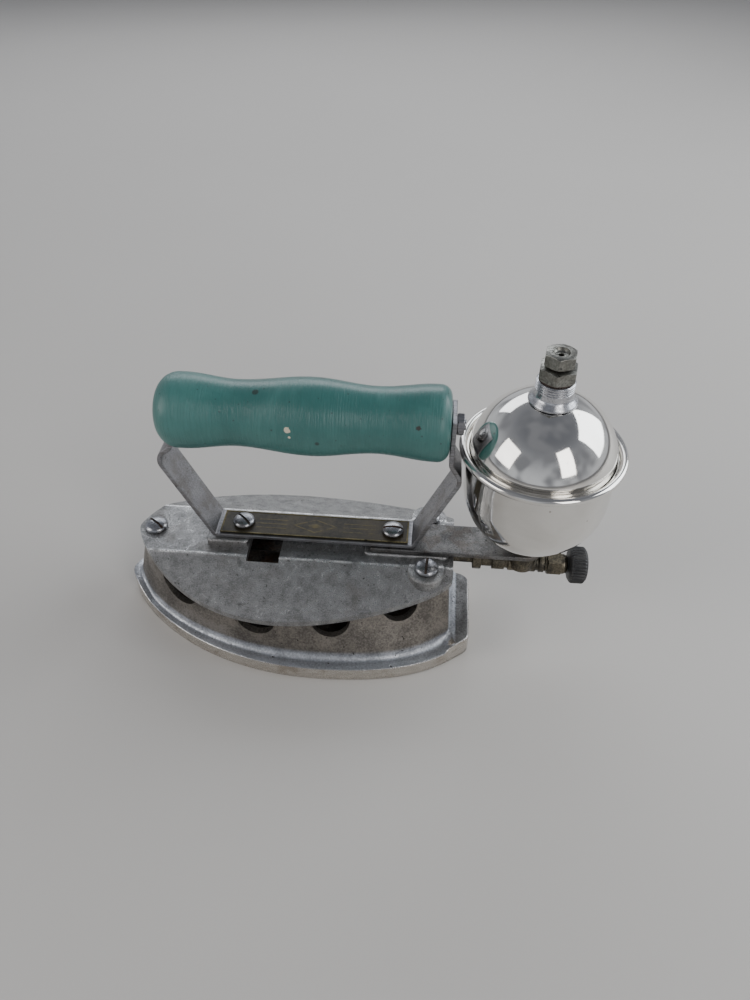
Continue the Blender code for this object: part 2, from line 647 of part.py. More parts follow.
def make_rod_and_nut():
    start = LEFT_TAB_X - STRAP_THICK / 2 - 2.0 * MM
    face = GRIP_X[1] + TOUCH + STRAP_THICK
    end = face + TOUCH + NUT_THICK + 0.8 * MM
    add_object("handle_rod", rod(ROD_RADIUS, start, end, "X", 20), STEEL, (0.0, 0.0, GRIP_AXIS_Z))
    nut = add_object("handle_nut", hexagon(NUT_FLATS, face + TOUCH, face + TOUCH + NUT_THICK, "X"), STEEL,
                     (0.0, 0.0, GRIP_AXIS_Z))
    cut(nut, cutter(rod(ROD_RADIUS + RUN * 2, face - MM, end + MM, "X", 20), (0.0, 0.0, GRIP_AXIS_Z)))


# ---------------------------------------------------------------- tank
def arc(centre, radius, start, end, steps):
    """(r, z) points on an arc, angles in degrees from the +r direction."""
    points = []
    for i in range(steps + 1):
        a = math.radians(start + (end - start) * i / steps)
        points.append((centre[0] + radius * math.cos(a), centre[1] + radius * math.sin(a)))
    return points


def make_bowl():
    hole = SPUD_RADIUS + TOUCH
    centre = (0.0, BOWL_CENTRE_Z)
    tilt = math.degrees(math.acos(hole / TANK_RADIUS))
    outer = arc(centre, TANK_RADIUS, -tilt, 0.0, 9)
    bead = (RIM_RADIUS - RIM_BEAD_RADIUS, RIM_Z - RIM_BEAD_RADIUS * 0.4)
    rim = arc(bead, RIM_BEAD_RADIUS, -120.0, 120.0, 6)
    inner_radius = TANK_RADIUS - SHEET
    inner = arc(centre, inner_radius, 0.0, -math.degrees(math.acos(hole / inner_radius)), 9)
    lip = [(inner_radius, RIM_Z - 2.5 * MM)]
    profile = outer + [(TANK_RADIUS, RIM_Z - 3.0 * MM)] + rim + lip + inner
    return add_object("tank_bowl", turned(profile, steps=36), NICKEL, (TANK_X, 0.0, 0.0))


def dome_sphere():
    """Centre height and radius of the sphere through the dome's foot and the neck's foot."""
    r0, z0, r1, z1 = DOME_FOOT_RADIUS, DOME_FOOT_Z, NECK_FOOT_RADIUS, NECK_FOOT_Z
    centre = (r1 * r1 - r0 * r0 + z1 * z1 - z0 * z0) / (2 * (z1 - z0))
    return centre, math.hypot(r0, z0 - centre)


def make_dome():
    centre, radius = dome_sphere()
    hole = NECK_RADIUS + TOUCH
    start = math.degrees(math.atan2(DOME_FOOT_Z - centre, DOME_FOOT_RADIUS))
    end = math.degrees(math.acos(hole / radius))
    outer = arc((0.0, centre), radius, start, end, 8)
    inner = arc((0.0, centre), radius - SHEET, math.degrees(math.acos(hole / (radius - SHEET))), start, 8)
    seat = TANK_RADIUS - SHEET - TOUCH
    skirt = [(seat - SHEET, RIM_Z - 6.0 * MM), (seat, RIM_Z - 6.0 * MM), (seat, RIM_Z - 0.4 * MM)]
    profile = skirt + outer + inner
    return add_object("tank_dome", turned(profile, steps=36), NICKEL, (TANK_X, 0.0, 0.0))


def make_filler():
    top = NECK_TOP_Z
    centre, radius = dome_sphere()

    def on_dome(r):
        return centre + math.sqrt(radius * radius - r * r)

    bore = PLUG_SHANK_RADIUS + RUN
    gap = TOUCH
    neck = [(bore, on_dome(NECK_RADIUS) - 5.0 * MM), (NECK_RADIUS, on_dome(NECK_RADIUS) - 5.0 * MM),
            (NECK_RADIUS, on_dome(NECK_RADIUS) + gap), (NECK_FOOT_RADIUS, on_dome(NECK_FOOT_RADIUS) + gap),
            (NECK_FOOT_RADIUS, on_dome(NECK_FOOT_RADIUS) + gap + 0.8 * MM),
            (NECK_RADIUS + 0.5 * MM, NECK_FOOT_Z + 3.6 * MM), (NECK_RADIUS, NECK_FOOT_Z + 5.0 * MM),
            (NECK_RADIUS, top - 0.6 * MM), (NECK_RADIUS - 0.6 * MM, top), (bore, top)]
    add_object("filler_neck", turned(neck, steps=32), NICKEL, (TANK_X, 0.0, 0.0))

    gasket_low = top + RUN
    gasket_high = gasket_low + GASKET_THICK
    tank_axis = (TANK_X, 0.0, 0.0)
    gasket = pipe(PLUG_SHANK_RADIUS + RUN, NECK_RADIUS - 1.2 * MM, gasket_low, gasket_high)
    add_object("filler_gasket", gasket, FIBRE, tank_axis)

    hex_low = gasket_high + RUN
    hex_high = hex_low + PLUG_HEX_HIGH
    plug = add_object("filler_plug", hexagon(PLUG_FLATS, hex_low, hex_high, turn=HEX_TURN), STEEL, tank_axis)
    shank_low = hex_low - PLUG_SHANK_LONG
    weld(plug, cutter(rod(PLUG_SHANK_RADIUS, shank_low, hex_low + MM, steps=32), (TANK_X, 0.0, 0.0)))
    chamber_top = hex_high - CAP_SHANK_LONG - 1.4 * MM
    spring_low = shank_low + 0.8 * MM
    cut(plug, cutter(rod(PLUNGER_RADIUS + 1.0 * MM, spring_low - RUN, chamber_top - 1.0 * MM),
                     (TANK_X, 0.0, 0.0)),
        cutter(rod(AIR_HOLE_RADIUS, shank_low - MM, hex_high + MM, steps=20), (TANK_X, 0.0, 0.0)),
        cutter(rod(CAP_SHANK_RADIUS + RUN, hex_high - CAP_SHANK_LONG - 0.4 * MM, hex_high + MM),
               (TANK_X, 0.0, 0.0)))

    # non-return valve in the plug's hollow shank
    seat = chamber_top - 1.0 * MM - RUN
    plunger = [(0.0, seat - 4.6 * MM), (0.6 * MM, seat - 4.6 * MM), (0.6 * MM, seat - 1.2 * MM),
               (PLUNGER_RADIUS, seat - 1.2 * MM), (PLUNGER_RADIUS, seat), (0.0, seat)]
    add_object("check_valve_plunger", turned(plunger, steps=20), BRASS_DARK, (TANK_X, 0.0, 0.0))
    spring_top = seat - 1.2 * MM - RUN
    make_spring("check_valve_spring", spring_low, spring_top)

    cap_low = hex_high + RUN
    seal_high = cap_low + GASKET_THICK
    add_object("air_cap_seal", pipe(CAP_SHANK_RADIUS + RUN, 4.4 * MM, cap_low, seal_high), FIBRE,
               (TANK_X, 0.0, 0.0))
    cap_hex_low = seal_high + RUN
    cap_high = cap_hex_low + CAP_HEX_HIGH
    cap = add_object("air_cap", hexagon(CAP_FLATS, cap_hex_low, cap_high, turn=HEX_TURN), STEEL, tank_axis)
    weld(cap, cutter(rod(CAP_SHANK_RADIUS, cap_low - CAP_SHANK_LONG, cap_hex_low + MM, steps=24),
                     (TANK_X, 0.0, 0.0)))
    cut(cap, cutter(turned([(0.0, cap_high - 1.2 * MM), (2.6 * MM, cap_high - 0.9 * MM),
                            (3.4 * MM, cap_high + MM), (0.0, cap_high + MM)], steps=24), (TANK_X, 0.0, 0.0)),
        cutter(rod(AIR_HOLE_RADIUS, cap_low - CAP_SHANK_LONG - MM, cap_high + MM, steps=16), tank_axis))
    return cap_high


def make_spring(name, low, high):
    """Compression spring: a bevelled helix curve with filled ends."""
    radius = PLUNGER_RADIUS + 0.3 * MM
    steps = SPRING_TURNS * 12
    curve = bpy.data.curves.new(name, "CURVE")
    curve.dimensions = "3D"
    curve.bevel_depth = SPRING_WIRE
    curve.bevel_resolution = 1
    curve.use_fill_caps = True
    line = curve.splines.new("POLY")
    line.points.add(steps)
    rise = high - low - 2 * SPRING_WIRE
    for i, point in enumerate(line.points):
        a = math.tau * SPRING_TURNS * i / steps
        point.co = (radius * math.cos(a), radius * math.sin(a), low + SPRING_WIRE + rise * i / steps, 1.0)
    obj = bpy.data.objects.new(name, curve)
    obj.location = (TANK_X, 0.0, 0.0)
    bpy.context.scene.collection.objects.link(obj)
    curve.materials.append(material(name, *STEEL))
    return obj


# ---------------------------------------------------------------- valve and generator
def make_spud(bracket_high):
    """Fitting that holds the bowl on the bracket and the valve body, and the fuel tube on it."""

    def under_bowl(r):
        return BOWL_CENTRE_Z - math.sqrt(TANK_RADIUS**2 - r * r) - TOUCH

    bore = TUBE_RADIUS + 2 * RUN
    low = VALVE_Z + VALVE_BODY_RADIUS - 2.0 * MM
    seat = bracket_high + TOUCH
    top = under_bowl(SPUD_RADIUS) + SHEET + 2.0 * MM
    spud = [(bore, low), (SPUD_RADIUS, low), (SPUD_RADIUS, seat), (SPUD_SHOULDER, seat),
            (SPUD_SHOULDER, under_bowl(SPUD_SHOULDER)), (SPUD_RADIUS, under_bowl(SPUD_RADIUS)),
            (SPUD_RADIUS, top), (bore, top)]
    add_object("tank_spud", turned(spud, steps=24), BRASS_DARK, (TANK_X, 0.0, 0.0))
    add_object("pickup_tube", pipe(TUBE_BORE, TUBE_RADIUS, low + 3.0 * MM, top + 12.0 * MM, steps=20),
               BRASS_DARK, (TANK_X, 0.0, 0.0))
    return low


def make_valve(spud_low):
    x0, x1 = VALVE_BODY_X
    body_profile = [(0.0, GEN_NUT_X[1] + TOUCH), (VALVE_NECK_RADIUS, GEN_NUT_X[1] + TOUCH),
                    (VALVE_NECK_RADIUS, x0), (VALVE_BODY_RADIUS - 0.3 * MM, x0),
                    (VALVE_BODY_RADIUS, x0 + 0.3 * MM), (VALVE_BODY_RADIUS, x1 - 0.3 * MM),
                    (VALVE_BODY_RADIUS - 0.3 * MM, x1), (0.0, x1)]
    place = (0.0, 0.0, VALVE_Z)
    body = add_object("valve_body", turned(body_profile, "X", 28), BRASS_DARK, place)
    collar_high = STRAP_TOP_Z - STRAP_THICK - TOUCH - BRACKET_THICK - TOUCH
    collar = rod(SPUD_RADIUS + 2.6 * MM, VALVE_Z - 1.3 * MM, collar_high, steps=28)
    weld(body, cutter(collar, (TANK_X, 0.0, 0.0)))
    cut(body, cutter(rod(STEM_RADIUS + RUN, STEM_TIP_X - TOUCH, x1 + 2.0 * MM, "X", 24), place),
        cutter(rod(TUBE_BORE, x0 - 20.0 * MM, STEM_TIP_X + 2.3 * MM, "X", 16), place),
        cutter(rod(STEM_RADIUS + 1.2 * MM + TOUCH, x1 - 4.0 * MM, x1 + MM, "X", 24), place),
        cutter(rod(SPUD_RADIUS + TOUCH, spud_low - TOUCH, collar_high + MM, steps=26), (TANK_X, 0.0, 0.0)),
        cutter(rod(TUBE_BORE + 0.2 * MM, VALVE_Z + 0.7 * MM, spud_low + MM, steps=16), (TANK_X, 0.0, 0.0)))

    packing = pipe(STEM_RADIUS + RUN, STEM_RADIUS + 1.2 * MM, x1 - 3.7 * MM, x1 - 0.5 * MM, "X")
    add_object("stem_packing", packing, FIBRE, place)

    gland = add_object("packing_gland", hexagon(GLAND_FLATS, GLAND_X[0], GLAND_X[1] - 3.0 * MM, "X", 0.26),
                       BRASS_DARK, place)
    sleeve = [(0.0, x1 + TOUCH), (VALVE_BODY_RADIUS - 0.6 * MM, x1 + TOUCH),
              (VALVE_BODY_RADIUS - 0.6 * MM, GLAND_X[0] + MM), (0.0, GLAND_X[0] + MM)]
    weld(gland, cutter(turned(sleeve, "X", 28), place),
         cutter(rod(GLAND_FLATS / 2 - 0.3 * MM, GLAND_X[1] - 4.0 * MM, GLAND_X[1], "X", 28), place))
    cut(gland, cutter(rod(STEM_RADIUS + RUN, x1 - MM, GLAND_X[1] + MM, "X", 24), place))

    stem = [(0.0, STEM_TIP_X), (0.35 * MM, STEM_TIP_X), (1.0 * MM, STEM_TIP_X + 2.0 * MM),
            (1.0 * MM, TANK_X + 2.5 * MM), (STEM_RADIUS, TANK_X + 3.2 * MM),
            (STEM_RADIUS, KNOB_X[1] - 1.2 * MM), (0.0, KNOB_X[1] - 1.2 * MM)]
    add_object("valve_stem", turned(stem, "X", 24), STEEL, place)
    make_knob(place)


def make_knob(place):
    """Ribbed knob: the rim's outline swings in and out once for each rib."""
    x0, x1 = KNOB_X
    points = []
    for i in range(KNOB_RIBS * 2):
        a = math.tau * i / (KNOB_RIBS * 2)
        points.append((KNOB_RADIUS - (i % 2) * KNOB_RIB_DEPTH, a))

    def ring(x, radius_of):
        return [(x, radius_of(r) * math.cos(a), radius_of(r) * math.sin(a)) for r, a in points]

    smooth = KNOB_RADIUS - KNOB_RIB_DEPTH * 1.5
    rings = [ring(x0, lambda r: smooth - 1.2 * MM), ring(x0 + 0.9 * MM, lambda r: smooth),
             ring(x0 + 1.3 * MM, lambda r: r), ring(x1 - 1.3 * MM, lambda r: r),
             ring(x1 - 0.9 * MM, lambda r: smooth), ring(x1, lambda r: smooth - 1.2 * MM)]
    knob = add_object("valve_knob", loft(rings), BLACK, place)
    cut(knob, cutter(rod(STEM_RADIUS + RUN, x0 - MM, x1 - MM, "X", 24), place))


def make_generator():
    """Tube that leads fuel to the jet, its nut on the valve body, and the jet itself."""
    place = (0.0, 0.0, VALVE_Z)
    tube_x = (JET_X[0] + 2.5 * MM, GEN_NUT_X[1] - TOUCH)
    add_object("generator_tube", pipe(TUBE_BORE, TUBE_RADIUS, *tube_x, "X", 20), BRASS_DARK, place)
    nut = add_object("generator_nut", hexagon(GEN_NUT_FLATS, *GEN_NUT_X, "X", 0.1), BRASS_DARK, place)
    cut(nut, cutter(rod(TUBE_RADIUS + 2 * RUN, GEN_NUT_X[0] - MM, GEN_NUT_X[1] + MM, "X", 20), place))
    x0, x1 = JET_X
    jet = [(0.4 * MM, x0), (1.4 * MM, x0), (JET_RADIUS, x0 + 1.5 * MM), (JET_RADIUS, x1),
           (TUBE_RADIUS + 2 * RUN, x1), (TUBE_RADIUS + 2 * RUN, x0 + 2.0 * MM), (0.4 * MM, x0 + 2.0 * MM)]
    add_object("jet_nozzle", turned(jet, "X", 20), BRASS_DARK, place)
    mixer = [(MIXER_RADIUS - MM, MIXER_X[0]), (MIXER_RADIUS, MIXER_X[0]), (MIXER_RADIUS, MIXER_X[1]),
             (MIXER_RADIUS - MM, MIXER_X[1])]
    add_object("mixing_tube", turned(mixer, "X", 24), IRON, place)


def make_burner():
    """Burner casting: a slotted tube along the sole, a riser for the mixing tube and two ears."""
    x0, x1 = BURNER_X
    place = (0.0, 0.0, BURNER_Z)
    wall = BURNER_WALL
    riser_top = COVER_TOP_Z - COVER_THICK - 2 * TOUCH
    half = RISER_HALF
    burner = add_object("burner_tube", rod(BURNER_RADIUS, x0, x1 + 2.1 * MM, "X", 24), IRON, place)
    weld(burner, cutter(block((x1 - half, x1 + half), (-half, half), (BURNER_Z - MM, riser_top))))
    ear_low = BURNER_Z - BURNER_RADIUS + EAR_LIFT
    for screw_x in BURNER_SCREW_X:
        inner = x0 + MM if screw_x < x0 else x1 - MM
        outer = screw_x + math.copysign(EAR_HALF, screw_x - inner)
        weld(burner, cutter(block((min(inner, outer), max(inner, outer)), (-EAR_HALF, EAR_HALF),
                                  (ear_low, ear_low + EAR_THICK))))
    room = half - 2.2 * MM
    cut(burner, cutter(rod(BURNER_RADIUS - wall, x0 + wall, x1 + 0.2 * MM, "X", 24), place),
        cutter(block((x1 - room, MIXER_X[0]), (-room, room), (BURNER_Z - 0.6 * MM, riser_top - 1.5 * wall))),
        cutter(rod(MIXER_RADIUS + TOUCH, MIXER_X[0] - TOUCH, x1 + 10.0 * MM, "X", 28), (0.0, 0.0, VALVE_Z)))
    wide, long, apart = BURNER_SLOT
    count = int((x1 - x0 - 12.0 * MM) / apart)
    for i in range(count):
        x = x0 + 4.0 * MM + i * apart
        cut(burner, cutter(block((x, x + wide), (-10.0 * MM, 10.0 * MM),
                                 (BURNER_Z - long / 2, BURNER_Z + long / 2))))
    for screw_x in BURNER_SCREW_X:
        cut(burner, cutter(rod(SCREW_SHANK + TOUCH, ear_low - MM, ear_low + EAR_THICK + MM, steps=16),
                           (screw_x, 0.0, 0.0)))
    for name, screw_x in zip(("burner_screw_front", "burner_screw_rear"), BURNER_SCREW_X):
        pan_screw(name, screw_x, 0.0, ear_low + EAR_THICK + TOUCH, EAR_THICK + 2.5 * MM, 0.4,
                  BURNER_SCREW_HEAD)


clear_scene()
make_base()
make_cover()
pan_screw("cover_screw_nose", NOSE_SCREW_X, 0.0, COVER_TOP_Z + TOUCH, COVER_SCREW_LONG, -0.6,
          COVER_SCREW_HEAD)
pan_screw("cover_screw_heel_front", HEEL_SCREW[0], -HEEL_SCREW[1], HEEL_BOSS_TOP_Z + TOUCH,
          COVER_SCREW_LONG, 1.4, COVER_SCREW_HEAD)
pan_screw("cover_screw_heel_back", HEEL_SCREW[0], HEEL_SCREW[1], HEEL_BOSS_TOP_Z + TOUCH,
          COVER_SCREW_LONG, 0.3, COVER_SCREW_HEAD)
make_strap()
plate_top = make_nameplate()
bracket_low, bracket_high = make_bracket()
for screw_name, screw_x, turn in zip(("strap_screw_front", "strap_screw_rear"), STRAP_SCREW_X, (-0.9, 0.1)):
    pan_screw(screw_name, screw_x, 0.0, plate_top + TOUCH, STRAP_SCREW_LONG, turn, STRAP_SCREW_HEAD)
make_grip()
make_rod_and_nut()
make_bowl()
make_dome()
make_filler()
make_valve(make_spud(bracket_high))
make_generator()
make_burner()
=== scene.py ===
# %% [markdown]
# # A fuel-burning clothes iron
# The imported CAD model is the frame: it says where every piece is and how it moves. This script
# gives the iron its looks. Cast iron, nickel plate, oxidised brass, painted wood and enamel each
# get their own finish, and the pieces that show are built again with rounder shapes.
# Everything is in metres, with +X from the nose to the tank and +Z up from the sole.

# %% Load the frame and measure it
import math

import bmesh
import bpy
from mathutils import Matrix, Vector


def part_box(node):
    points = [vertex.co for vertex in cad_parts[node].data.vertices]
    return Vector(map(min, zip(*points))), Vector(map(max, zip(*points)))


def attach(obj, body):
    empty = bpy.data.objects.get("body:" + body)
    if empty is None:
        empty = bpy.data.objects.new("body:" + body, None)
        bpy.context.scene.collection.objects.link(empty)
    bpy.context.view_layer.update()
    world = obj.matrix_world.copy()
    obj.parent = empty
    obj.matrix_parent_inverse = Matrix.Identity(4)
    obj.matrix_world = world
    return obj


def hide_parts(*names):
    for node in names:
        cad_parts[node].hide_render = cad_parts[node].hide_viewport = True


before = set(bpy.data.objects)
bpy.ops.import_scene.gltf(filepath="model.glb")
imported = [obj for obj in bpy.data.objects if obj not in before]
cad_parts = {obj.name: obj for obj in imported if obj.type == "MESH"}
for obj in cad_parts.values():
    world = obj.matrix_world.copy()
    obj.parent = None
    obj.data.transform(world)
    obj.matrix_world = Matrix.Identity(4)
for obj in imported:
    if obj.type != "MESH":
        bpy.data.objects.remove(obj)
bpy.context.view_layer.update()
MM = 0.001

# %% [markdown]
# ## Wiring materials
# A Blender material is a tree of nodes. One small helper adds a node, sets its plain values and
# links its sockets, so that a material reads like a list of ingredients.

# %% Node helpers
def add(tree, kind, feeds=None, **settings):
    """Add a node. A feed is either a value or another node's output socket."""
    node = tree.nodes.new(kind)
    for key, value in settings.items():
        setattr(node, key, value)
    for key, value in (feeds or {}).items():
        if isinstance(value, bpy.types.NodeSocket):
            tree.links.new(value, node.inputs[key])
        else:
            node.inputs[key].default_value = value
    return node


def maths(tree, operation, a, b=0.0):
    return add(tree, "ShaderNodeMath", {0: a, 1: b}, operation=operation).outputs[0]


def remap(tree, value, low, high, to_low=0.0, to_high=1.0, smooth=True):
    node = add(tree, "ShaderNodeMapRange", {"Value": value, "From Min": low, "From Max": high,
                                            "To Min": to_low, "To Max": to_high})
    node.interpolation_type = "SMOOTHSTEP" if smooth else "LINEAR"
    return node.outputs["Result"]


def blend_colour(tree, share, first, second):
    node = add(tree, "ShaderNodeMix", data_type="RGBA")
    for index, value in ((0, share), (6, first), (7, second)):
        if isinstance(value, bpy.types.NodeSocket):
            tree.links.new(value, node.inputs[index])
        elif isinstance(value, tuple):
            node.inputs[index].default_value = (*value, 1.0)
        else:
            node.inputs[index].default_value = value
    return node.outputs[2]


def new_group(name, takes, gives):
    """An empty shader group with named sockets, and its two end nodes."""
    group = bpy.data.node_groups.new(name, "ShaderNodeTree")
    for label, kind, value in takes:
        socket = group.interface.new_socket(label, in_out="INPUT", socket_type=kind)
        if value is not None:
            socket.default_value = value
    for label, kind in gives:
        group.interface.new_socket(label, in_out="OUTPUT", socket_type=kind)
    return group, group.nodes.new("NodeGroupInput"), group.nodes.new("NodeGroupOutput")


print("node helpers ready")

# %% [markdown]
# ## Shared surface effects
# Four effects turn up on many parts of the iron, so each is a node group built once.
# *Cast skin* is the sand-cast surface: a fine grain, with darker pits here and there.
# *Patches* are soft areas where the tone shifts, as on handled or tarnished metal.
# *Fine lines* are long thin marks in one direction, as left by a brush, a lathe or wood grain.
# *Specks* are small separate spots, for dirt and chips.

# %% The cast skin group
FLOAT, VECTOR = "NodeSocketFloat", "NodeSocketVector"


def make_cast_skin():
    group, start, end = new_group(
        "cast skin", [("Vector", VECTOR, None), ("Grain", FLOAT, 900.0), ("Pits", FLOAT, 0.5)],
        [("Tone", FLOAT), ("Pits", FLOAT), ("Height", FLOAT)])
    fine = add(group, "ShaderNodeTexNoise",
               {"Vector": start.outputs["Vector"], "Scale": start.outputs["Grain"],
                                             "Detail": 5.0, "Roughness": 0.65}).outputs["Fac"]
    broad_scale = maths(group, "MULTIPLY", start.outputs["Grain"], 0.09)
    broad = add(group, "ShaderNodeTexNoise", {"Vector": start.outputs["Vector"], "Scale": broad_scale,
                                              "Detail": 4.0, "Roughness": 0.6}).outputs["Fac"]
    pit_scale = maths(group, "MULTIPLY", start.outputs["Grain"], 0.42)
    spots = add(group, "ShaderNodeTexNoise", {"Vector": start.outputs["Vector"], "Scale": pit_scale,
                                              "Detail": 2.0, "Roughness": 0.45}).outputs["Fac"]
    threshold = remap(group, start.outputs["Pits"], 0.0, 1.0, 0.78, 0.58, smooth=False)
    pit = remap(group, maths(group, "SUBTRACT", spots, threshold), 0.0, 0.06)
    tone = maths(group, "ADD", maths(group, "MULTIPLY", fine, 0.55), maths(group, "MULTIPLY", broad, 0.45))
    tone = remap(group, tone, 0.36, 0.64)
    height = maths(group, "SUBTRACT", fine, maths(group, "MULTIPLY", pit, 0.8))
    for label, value in (("Tone", tone), ("Pits", pit), ("Height", height)):
        group.links.new(value, end.inputs[label])
    return group


CAST_SKIN = make_cast_skin()
print("group:", CAST_SKIN.name)

# %% The patches, fine lines and specks groups
def make_patches():
    group, start, end = new_group(
        "patches", [("Vector", VECTOR, None), ("Scale", FLOAT, 60.0), ("Low", FLOAT, 0.4),
                    ("High", FLOAT, 0.6)],
        [("Mask", FLOAT)])
    noise = add(group, "ShaderNodeTexNoise",
                {"Vector": start.outputs["Vector"], "Scale": start.outputs["Scale"],
                                              "Detail": 4.0, "Roughness": 0.6, "Distortion": 0.4})
    node = add(group, "ShaderNodeMapRange", {"Value": noise.outputs["Fac"], "From Min": start.outputs["Low"],
                                             "From Max": start.outputs["High"]},
                                             interpolation_type="SMOOTHSTEP")
    group.links.new(node.outputs["Result"], end.inputs["Mask"])
    return group


def make_fine_lines():
    group, start, end = new_group(
        "fine lines", [("Vector", VECTOR, None), ("Stretch", VECTOR, (1.0, 1.0, 1.0)),
                       ("Scale", FLOAT, 1500.0)],
        [("Tone", FLOAT)])
    drawn = add(group, "ShaderNodeVectorMath", {0: start.outputs["Vector"], 1: start.outputs["Stretch"]},
                operation="MULTIPLY")
    noise = add(group, "ShaderNodeTexNoise", {"Vector": drawn.outputs[0], "Scale": start.outputs["Scale"],
                                              "Detail": 3.0, "Roughness": 0.6})
    group.links.new(remap(group, noise.outputs["Fac"], 0.35, 0.65), end.inputs["Tone"])
    return group


def make_specks():
    group, start, end = new_group(
        "specks", [("Vector", VECTOR, None), ("Scale", FLOAT, 300.0), ("Size", FLOAT, 0.12)],
        [("Mask", FLOAT)])
    cells = add(group, "ShaderNodeTexVoronoi",
                {"Vector": start.outputs["Vector"], "Scale": start.outputs["Scale"],
                                                "Randomness": 1.0})
    # each cell draws its own size from its own colour, and most cells draw nothing
    own = add(group, "ShaderNodeSeparateColor", {"Color": cells.outputs["Color"]}).outputs["Red"]
    own = maths(group, "MULTIPLY", remap(group, own, 0.72, 1.0), start.outputs["Size"])
    away = maths(group, "SUBTRACT", own, cells.outputs["Distance"])
    group.links.new(remap(group, away, 0.0, 0.05), end.inputs["Mask"])
    return group


PATCHES = make_patches()
FINE_LINES = make_fine_lines()
SPECKS = make_specks()
print("groups:", PATCHES.name, FINE_LINES.name, SPECKS.name)

# %% A material with its parts at hand
class Finish:
    """A Principled material, with its tree, its object coordinates and short ways to use the groups."""

    def __init__(self, name, roughness=0.4, metallic=1.0):
        self.material = bpy.data.materials.new(name)
        self.material.use_nodes = True
        self.tree = self.material.node_tree
        self.shader = self.tree.nodes["Principled BSDF"]
        self.shader.inputs["Roughness"].default_value = roughness
        self.shader.inputs["Metallic"].default_value = metallic
        self.place = add(self.tree, "ShaderNodeTexCoord").outputs["Object"]
        parts = add(self.tree, "ShaderNodeSeparateXYZ", {"Vector": self.place})
        self.x, self.y, self.z = parts.outputs

    def group(self, group, **feeds):
        node = add(self.tree, "ShaderNodeGroup", node_tree=group)
        for key, value in {"Vector": self.place, **feeds}.items():
            if isinstance(value, bpy.types.NodeSocket):
                self.tree.links.new(value, node.inputs[key])
            else:
                node.inputs[key].default_value = value
        return node.outputs

    def feed(self, label, value):
        self.tree.links.new(value, self.shader.inputs[label])

    def bump(self, height, depth, strength=1.0):
        node = add(self.tree, "ShaderNodeBump", {"Height": height, "Strength": strength, "Distance": depth})
        self.feed("Normal", node.outputs["Normal"])


print("finish helper ready")

# %% [markdown]
# ## Cast iron
# The cover and the base are sand castings that were once plated. The plate has gone dull and the
# castings show a grey grain with dark pits, and a paler colour where hands and cloth have rubbed.
# The rubbed places are known from the shape, so each mask is worked out from the position: the two
# ridge lines of the cover, and the polished band, the cove and the wall of the base.

# %% The cover's finish
RIDGE_HALF = 15.5 * MM           # half distance between the cover's two ridge lines
COVER_TOP_Z = 44.0 * MM
ROOF_SLOPE = 0.5


def cover_finish():
    f = Finish("cover cast iron", 0.42, 0.9)
    skin = f.group(CAST_SKIN, Grain=1900.0, Pits=0.5)
    across = maths(f.tree, "ABSOLUTE", f.y)
    off_ridge = maths(f.tree, "ABSOLUTE", maths(f.tree, "SUBTRACT", across, RIDGE_HALF))
    rubbed = remap(f.tree, off_ridge, 1.1 * MM, 0.0)
    broken = f.group(PATCHES, Scale=190.0, Low=0.30, High=0.56)["Mask"]
    rubbed = maths(f.tree, "MULTIPLY", rubbed, broken)
    stain = f.group(PATCHES, Scale=55.0, Low=0.52, High=0.70)["Mask"]
    smudge = f.group(PATCHES, Scale=130.0, Low=0.60, High=0.74)["Mask"]
    colour = blend_colour(f.tree, skin["Tone"], (0.17, 0.17, 0.17), (0.44, 0.44, 0.44))
    colour = blend_colour(f.tree, maths(f.tree, "MULTIPLY", stain, 0.3), colour, (0.16, 0.14, 0.12))
    colour = blend_colour(f.tree, maths(f.tree, "MULTIPLY", smudge, 0.7), colour, (0.05, 0.048, 0.046))
    colour = blend_colour(f.tree, rubbed, colour, (0.78, 0.78, 0.78))
    colour = blend_colour(f.tree, skin["Pits"], colour, (0.035, 0.032, 0.03))
    f.feed("Base Color", colour)
    rough = maths(f.tree, "SUBTRACT", remap(f.tree, skin["Tone"], 0.0, 1.0, 0.44, 0.26), maths(
        f.tree, "MULTIPLY", rubbed, 0.12))
    f.feed("Roughness", rough)
    f.bump(skin["Height"], 0.3 * MM, 0.7)
    return f.material


COVER_FINISH = cover_finish()
print("material:", COVER_FINISH.name)

# %% The base's finish
BAND_HEIGHT = 8.0 * MM           # polished side of the sole
HEEL_RISE = 3.5 * MM
HEEL_STEP_X = (75.5 * MM, 79.5 * MM)
NOSE_RISE = 4.5 * MM
NOSE_STEP_X = (-72.0 * MM, -84.0 * MM)
COVE_HIGH = 3.2 * MM


